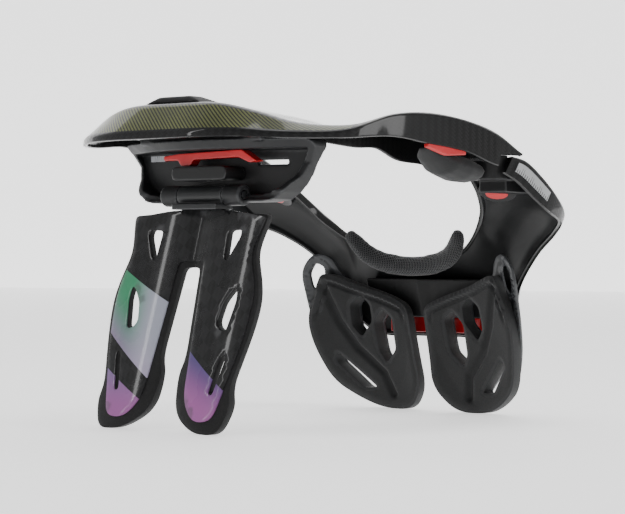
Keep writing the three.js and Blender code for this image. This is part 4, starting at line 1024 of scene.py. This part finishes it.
print("helper ready: plate_object")


# %% [markdown]
# ### The back strut
# The strut is a thin laminate with two legs and three windows in each. It leans back towards the feet
# and each leg is slightly crowned, so the lacquer catches one long bright line down its length. A
# rubber backing carries it: its rim shows all round the plate, and its feet are thick and rounded.

# %% Strut outlines, as shares of its half width and of the hinge height
STRUT_LEG = [
    (0.340, 0.938, 8), (0.875, 0.907, 3), (0.775, 0.750, 8), (0.917, 0.590, 14), (0.880, 0.380, 20),
    (0.760, 0.165, 14), (0.700, 0.055, 8), (0.460, 0.048, 10), (0.280, 0.135, 10), (0.245, 0.300, 12),
    (0.165, 0.718, 4),
]
BACKING_LEG = [
    (0.340, 0.929, 8), (0.893, 0.915, 4), (0.815, 0.755, 8), (0.965, 0.580, 14), (0.950, 0.440, 20),
    (0.830, 0.190, 8), (0.880, 0.110, 8), (0.790, 0.000, 8), (0.480, 0.000, 12), (0.170, 0.080, 14),
    (0.110, 0.235, 10), (0.175, 0.310, 10), (0.110, 0.690, 4),
]
STRUT_WINDOWS = [
    [(0.430, 0.850), (0.610, 0.856), (0.620, 0.825), (0.500, 0.722), (0.452, 0.725)],
    [
        (0.705, 0.608), (0.650, 0.602), (0.555, 0.543), (0.520, 0.460), (0.570, 0.430), (0.665, 0.425),
        (0.722, 0.555),
    ],
    [(0.665, 0.325), (0.725, 0.330), (0.725, 0.300), (0.655, 0.160), (0.590, 0.165)],
]
STRUT_CROWN = 3
STRUT_WALL = 3
STRUT_PROUD = 0.35  # the share of the plate's wall that stands proud of the rubber rim
BACKING_WALL = 3.4
BACKING_FOOT = (0.12, 0.26)  # the backing grows thicker between these shares of the height, towards the feet
NOTCH = (21.3, 137.7)  # half width and floor of the gap in the backing's top, for the hinge's flange
WINDOW_SHRINK = 0.04  # so much smaller are the windows of the rubber, which shows in those of the plate


def both_legs(rows, between=()):
    """The outline of one leg, then its mirror image, then the points between the two tops."""
    leg = scaled_corners(rows, STRUT_HALF, HINGE_HEIGHT, 1)
    return [*leg, *[(-x, *rest) for x, *rest in reversed(leg)], *between]


def strut_rear(places):
    x, z = places[:, 0], places[:, 1]
    across = (np.abs(x) / STRUT_HALF - 0.58) / 0.42
    return FOOT_REACH - (FOOT_REACH - HINGE_REACH) * z / HINGE_HEIGHT + STRUT_CROWN * (1 - across**2)


def backing_front(places):
    low, high = BACKING_FOOT
    foot = 1 - smooth_share(places[:, 1], low * HINGE_HEIGHT, high * HINGE_HEIGHT)
    return strut_rear(places) - STRUT_WALL - BACKING_WALL * (0.75 + 0.5 * foot)


windows = [
    rounded_outline(scaled_corners(rows, STRUT_HALF, HINGE_HEIGHT, side))
    for side in (1, -1) for rows in STRUT_WINDOWS
]
plate_outline = rounded_outline(both_legs(STRUT_LEG))
strut_plate = plate_object(
    "printed_strut", plate_outline, windows, strut_rear, lambda p: strut_rear(p) - STRUT_WALL,
    step=3.0, bevel=0.9,
)
finish_piece(strut_plate, "strut", "strut_carbon", PRINTED_CARBON, "strut_plate")
wide, deep = NOTCH
top = BACKING_LEG[0][1] * HINGE_HEIGHT
notch = [(-wide, top, 1), (-wide, deep, 2), (wide, deep, 2), (wide, top, 1)]
backing_windows = [ring + (ring.mean(axis=0) - ring) * WINDOW_SHRINK for ring in windows]
strut_back = plate_object(
    "strut_rubber", rounded_outline(both_legs(BACKING_LEG, notch)), backing_windows,
    lambda p: strut_rear(p) - STRUT_PROUD * STRUT_WALL, backing_front, step=3.0, bevel=1.1,
)
finish_piece(strut_back, "strut", "backing_rubber", RUBBER, "strut_backing")

# %% [markdown]
# ### The chest pads and their shells
# Each chest pad is moulded foam with three windows. Its face swells towards the chest, a smooth groove
# runs down across it, and a raised lip with a shallow trench beside it follows the upper part of its
# border. All are heights on one face: the swelling comes from a formula, the others from the distance to
# a line.

# %% Pad and shell outlines, as shares of the half span and of the pad height
PAD_OUTLINE = [
    (0.075, 0.740, 8), (0.260, 0.812, 10), (0.520, 0.880, 10), (0.700, 0.945, 5), (0.800, 0.965, 6),
    (0.880, 0.800, 16), (0.950, 0.620, 16), (0.930, 0.430, 18), (0.840, 0.190, 18), (0.660, 0.070, 12),
    (0.480, 0.000, 12), (0.210, 0.000, 14), (0.055, 0.170, 14), (0.070, 0.400, 10),
]
PAD_WINDOWS = [
    [(0.430, 0.745), (0.500, 0.810), (0.600, 0.745), (0.610, 0.590), (0.540, 0.510), (0.430, 0.630)],
    [(0.245, 0.655), (0.330, 0.715), (0.420, 0.620), (0.410, 0.410), (0.360, 0.330), (0.255, 0.430)],
    [(0.490, 0.150), (0.600, 0.145), (0.790, 0.340), (0.760, 0.400)],
]
PAD_GROOVE = [(0.790, 0.870), (0.700, 0.620), (0.590, 0.440), (0.400, 0.260), (0.355, 0.110)]
SHELL_OUTLINE = [
    (0.100, 0.710, 8), (0.520, 0.850, 10), (0.700, 0.930, 8), (0.760, 1.080, 10), (0.885, 1.110, 12),
    (0.990, 0.980, 14), (0.980, 0.780, 14), (0.970, 0.640, 14), (0.930, 0.440, 16), (0.810, 0.220, 16),
    (0.640, 0.120, 10), (0.460, 0.060, 10), (0.230, 0.060, 12), (0.100, 0.200, 12),
]
STRAP_RING = [(0.820, 1.010), (0.885, 1.040), (0.935, 0.960), (0.930, 0.860), (0.885, 0.820), (0.835, 0.880)]
print("corners of a pad:", len(PAD_OUTLINE), "and of a shell:", len(SHELL_OUTLINE))

# %% The foam of a pad
FINE_SPACING = 1.8
PAD_EDGE, PAD_DOME = 9, 4
LIP_WIDTH, LIP_HEIGHT = 4.5, 1.4
TRENCH_DEPTH = 1.8
GROOVE_WIDTH, GROOVE_DEPTH = 5.0, 3.2
RIM_WIDTH, RIM_DEPTH = 6.5, 1.6
WELL_WIDTH, WELL_DEPTH = 3.0, 1.1


def pad_back(places):
    x, z = places[:, 0], places[:, 1]
    wrap = ((np.abs(x) / PAD_SPAN - 0.38) / 0.62) ** 2
    return -TOE_REACH + z / PAD_HEIGHT * 0.19 * TOE_REACH + 0.13 * TOE_REACH * wrap


def pad_depth(places):
    across = (np.abs(places[:, 0]) / PAD_SPAN - 0.6) / 0.48
    up = (places[:, 1] / PAD_HEIGHT - 0.62) / 0.62
    return PAD_EDGE + PAD_DOME * np.maximum(0, 1 - across**2 - up**2)


def pad_line(rows, side, spacing=2.0):
    return rounded_outline(scaled_corners(rows, PAD_SPAN, PAD_HEIGHT, side), spacing)


def make_pad(name, side):
    outline = pad_line(PAD_OUTLINE, side, FINE_SPACING)
    holes = [pad_line(rows, side, FINE_SPACING) for rows in PAD_WINDOWS]
    groove = np.array(scaled_corners(PAD_GROOVE, PAD_SPAN, PAD_HEIGHT, side))

    def pad_face(places):
        border = distance_to_line(places, outline)
        channel = 1 - smooth_share(distance_to_line(places, groove, closed=False), 0.8, GROOVE_WIDTH)
        rim = 1 - smooth_share(border, 0, RIM_WIDTH)
        lip = smooth_share(border, 1.2, 2.6) * (1 - smooth_share(border, LIP_WIDTH - 0.6, LIP_WIDTH + 0.6))
        far_side = 1 - smooth_share(border, LIP_WIDTH + 2, LIP_WIDTH + 4)
        trench = smooth_share(border, LIP_WIDTH - 0.4, LIP_WIDTH + 0.8) * far_side
        upper = smooth_share(places[:, 1], 0.60 * PAD_HEIGHT, 0.72 * PAD_HEIGHT)
        well = np.zeros(len(places))
        for hole in holes:
            well = np.maximum(well, 1 - smooth_share(distance_to_line(places, hole), 0, WELL_WIDTH))
        height = pad_depth(places) - GROOVE_DEPTH * channel - RIM_DEPTH * rim - WELL_DEPTH * well
        return pad_back(places) + height + (LIP_HEIGHT * lip - TRENCH_DEPTH * trench) * upper

    pad = plate_object(
        f"foam_pad_{name}", outline, holes, pad_face, pad_back, step=1.5, bevel=1.2, segments=3
    )
    finish_piece(pad, "front_half", "pad_foam", PAD_FOAM, f"chest_pad_{name}")


print("helper ready: make_pad")

# %% [markdown]
# The plate behind each pad is thin and hard, with the ring for a strap at its upper outer corner. It has
# the windows of the pad, so that light comes through. A bead stiffens its outer border.

# %% The shell behind a pad, and both of each
SHELL_GAP = 0.3
SHELL_BACK = 2.9
BEAD_HEIGHT = 1.4


def make_pad_shell(name, side):
    outline = pad_line(SHELL_OUTLINE, side)
    openings = [pad_line(rows, side) for rows in (STRAP_RING, *PAD_WINDOWS)]

    def shell_face(places):
        border = distance_to_line(places, outline)
        bead = smooth_share(border, 0, 1.2) * (1 - smooth_share(border, 2.2, 3.4))
        outer = smooth_share(side * places[:, 0], 0.80 * PAD_SPAN, 0.88 * PAD_SPAN)
        return pad_back(places) - SHELL_GAP + BEAD_HEIGHT * bead * outer

    def shell_back(places):
        return pad_back(places) - SHELL_BACK

    shell = plate_object(
        f"pad_shell_{name}", outline, openings, shell_face, shell_back, step=2.2, bevel=0.8
    )
    finish_piece(shell, "front_half", "shell_plastic", SHELL_NYLON, f"chest_shell_{name}")


for name, side in SIDES.items():
    make_pad(name, side)
    make_pad_shell(name, side)

# %% [markdown]
# ## Moulded blocks
# The housing, the shoulder hubs, the hinge block, the bridge between the chest pads and the red catches
# have the right shape in the CAD model, but with knife-sharp corners. A copy of each is rebuilt from tiny
# voxels and then relaxed a little, so every corner gets the small radius that a mould gives. The copy
# keeps the place of its node and stands for it.


# %% A moulded copy of a CAD node
def node_copy(node, name):
    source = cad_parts[node]
    mesh = source.data.copy()
    mesh.transform(source.matrix_world)
    copy = bpy.data.objects.new(name, mesh)
    bpy.context.scene.collection.objects.link(copy)
    return copy


def rebuild_from_voxels(thing, voxel):
    remesh = thing.modifiers.new("voxels", "REMESH")
    remesh.mode = "VOXEL"
    remesh.voxel_size = voxel / 1000


def moulded_copy(node, name, voxel, relax, strength=0.5, crease=60):
    """Rounds the corners of a node's copy: voxels in millimetres, then so many steps of smoothing."""
    copy = node_copy(node, name)
    rebuild_from_voxels(copy, voxel)
    relaxed = copy.modifiers.new("relax", "SMOOTH")
    relaxed.factor = strength
    relaxed.iterations = relax
    settle(copy)
    crease_edges(copy, crease)
    return copy


MOULDED = [
    ("strut_housing", "moulded_housing", 0.9, 5, "rear_half", "housing_plastic", HOUSING_NYLON),
    ("slider_block", "fore_aft_slider", 0.6, 6, "rear_half", "black_plastic", BLACK_NYLON),
    ("strut_knuckle", "hinge_block", 0.6, 4, "strut", "black_plastic", HINGE_NYLON),
    ("chest_bridge", "pad_bridge", 0.9, 5, "front_half", "black_plastic", BRIDGE_NYLON),
    ("chest_adjuster", "chest_bar", 0.6, 5, "front_half", "red_plastic", RED_PLASTIC),
    ("adjuster_clip", "red_clip", 0.45, 4, "rear_half", "red_plastic", RED_PLASTIC),
    ("latch_boss_left", "shoulder_hub_left", 0.6, 5, "front_half", "black_plastic", BLACK_NYLON),
    ("latch_boss_right", "shoulder_hub_right", 0.6, 5, "front_half", "black_plastic", BLACK_NYLON),
    ("release_tab_left", "red_tab_left", 0.4, 4, "rear_half", "red_plastic", RED_PLASTIC),
    ("release_tab_right", "red_tab_right", 0.4, 4, "rear_half", "red_plastic", RED_PLASTIC),
    ("release_button_left", "red_button_left", 0.35, 5, "button_left", "red_plastic", RED_PLASTIC),
    ("release_button_right", "red_button_right", 0.35, 5, "button_right", "red_plastic", RED_PLASTIC),
]
for node, name, voxel, relax, body, slot, material in MOULDED:
    finish_piece(moulded_copy(node, name, voxel, relax), body, slot, material, node)

# %% [markdown]
# ## Soft parts
# The roll along the front of the neck opening is a fabric tube stuffed with foam. Blender's cloth
# simulation inflates it: the copy starts a little slimmer, pressure pushes the skin outwards, and a cap
# on the movement keeps it inside its space. The shoulder foams and the pad on the table are moulded
# foam blocks, so they are rounded and not inflated.


# %% Inflate a stuffed form
CLOTH_STEPS = 20


def inflate(thing, voxel, pressure, cap):
    """Swells a closed form like a stuffed cushion; voxel in millimetres, cap on the swelling in metres."""
    rebuild_from_voxels(thing, voxel)
    settle(thing)
    before = np.array([v.co for v in thing.data.vertices])
    cloth = thing.modifiers.new("cloth", "CLOTH")
    cloth.settings.use_pressure = True
    cloth.settings.uniform_pressure_force = pressure
    cloth.settings.effector_weights.gravity = 0
    cloth.point_cache.frame_start = 1
    cloth.point_cache.frame_end = CLOTH_STEPS
    for step in range(1, CLOTH_STEPS + 1):
        bpy.context.scene.frame_set(step)
    graph = bpy.context.evaluated_depsgraph_get()
    after = np.array([v.co for v in thing.evaluated_get(graph).data.vertices])
    thing.modifiers.clear()
    bpy.context.scene.frame_set(1)
    moved = after - before
    far = np.linalg.norm(moved, axis=1)[:, None]
    moved *= np.minimum(1, cap / np.maximum(far, 1e-9))
    thing.data.vertices.foreach_set("co", (before + moved).ravel())
    most = 1000 * float(np.linalg.norm(moved, axis=1).max())
    print(thing.name, "swelled by at most", round(most, 1), "mm")
    finer = thing.modifiers.new("finer", "SUBSURF")
    finer.levels = 1
    settle(thing)


def slimmer_copy(node, name, shrink):
    """A copy whose skin lies inside the node's by a distance in metres."""
    copy = node_copy(node, name)
    work = bmesh.new()
    work.from_mesh(copy.data)
    bmesh.ops.remove_doubles(work, verts=work.verts, dist=1e-5)
    bmesh.ops.recalc_face_normals(work, faces=work.faces)
    work.normal_update()
    for vertex, normal in [(v, v.normal.copy()) for v in work.verts]:
        vertex.co -= normal * shrink
    work.to_mesh(copy.data)
    work.free()
    return copy


print("helpers ready: inflate and slimmer_copy")

# %% The roll
roll = slimmer_copy("front_neck_roll", "mesh_neck_roll", shrink=0.0009)
inflate(roll, voxel=3, pressure=4, cap=0.0022)
places = np.array([v.co for v in roll.data.vertices])
set_cloth(roll, np.column_stack([places[:, 0], places[:, 2] + 0.6 * places[:, 1], np.zeros(len(places))]))
finish_piece(roll, "front_half", "mesh_textile", MESH_TEXTILE, "front_neck_roll")

# %% Moulded foams
for node, name, body, slot, material, fill in (
    ("impact_pad", "table_pad", "rear_half", "impact_rubber", RUBBER, 0.9),
    ("shoulder_pad_left", "arm_foam_left", "rear_half", "arm_foam", ARM_FOAM, 0.8),
    ("shoulder_pad_right", "arm_foam_right", "rear_half", "arm_foam", ARM_FOAM, 0.8),
):
    foam = moulded_copy(node, name, voxel=1.0, relax=10, strength=0.6, crease=80)
    finish_piece(foam, body, slot, material, node)

# %% [markdown]
# ## Metal parts
# The pins keep their CAD meshes, which are round already, and only get the turned steel finish.
# The silver plates at the shoulders are tiny strips with tick marks. Their cloth coordinates run along
# the strip in metres and across it from 0 to 1, so the ticks follow the curve of the shoulder.

# %% Pins
for node in ("hinge_pin", "pivot_pin", "clip_pin"):
    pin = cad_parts[node]
    for slot in pin.material_slots:
        slot.material = STEEL
print("steel on the pins")

# %% Scale plates
SCALE_STATIONS = (8.5, 10.5)
SCALE_SHARES = np.linspace(0.22, 0.72, 7)  # of the way from the edge down the wall
SCALE_THICKNESS = 1.2
SCALE_PROUD = 0.8
per_station = front_middle / (len(FRONT_EDGE) - 1)
for name, side in SIDES.items():
    first, last = (front_middle + side * int(round(k * per_station)) for k in SCALE_STATIONS)
    picks = list(range(first, last + side, side))
    wall = front_grid[picks][:, 0]
    edge = front_grid[picks][:, front_marks[1]]
    normal = np.cross(np.gradient(wall, axis=0), edge - wall)
    normal /= np.linalg.norm(normal, axis=1)[:, None]
    normal *= np.sign(normal[:, 0].mean()) * side
    face = np.stack([edge + (wall - edge) * share + normal * SCALE_PROUD for share in SCALE_SHARES], axis=1)
    same_way = grid_normals(face).mean(axis=(0, 1)) @ normal.mean(axis=0) > 0
    strip = sheet_object(f"silver_plate_{name}", face, -SCALE_THICKNESS if same_way else SCALE_THICKNESS)
    length = np.concatenate([[0], np.cumsum(np.linalg.norm(np.diff(face[:, 3], axis=0), axis=1))]) / 1000
    along, over = np.meshgrid(length, np.linspace(1, 0, len(SCALE_SHARES)), indexing="ij")
    cloth = np.stack([along, over, np.zeros_like(along)], axis=2)
    ring = np.array([cloth[place] for place in border_places(*along.shape)])
    cloth = cloth.reshape(-1, 3)
    set_cloth(strip, np.vstack([cloth, cloth, ring, ring, ring]))
    finish_piece(strip, "front_half", "silver_scale", SCALE_METAL, f"scale_plate_{name}")

# %% [markdown]
# ## The studio's surfaces
# The photograph's background is white paper. A white surface that is only lit turns grey beside black
# parts, and stronger lamps would wash the parts out. So the floor and the wall glow a little by
# themselves. The wall glows more, because the lamps hardly reach it.

# %% Materials: floor and wall
for name, sheet, glow in (("pale backdrop", backdrop, 1.4), ("pale floor", floor, 0.9)):
    paper, t, shader = new_material(name, Emission_Color=(1, 1, 1, 1), Emission_Strength=glow)
    grain = t.place(GRAIN, Scale=60.0, Bump=0.02)
    t.feed(shader["Base Color"], t.mix(grain.outputs["Mottle"], (0.90, 0.90, 0.90, 1), (0.93, 0.93, 0.93, 1)))
    sheet.data.materials.append(paper)
    print("material:", paper.name)
t.feed(shader["Roughness"], t.ramp(grain.outputs["Mottle"], 0.3, 0.7, 0.7, 0.8))
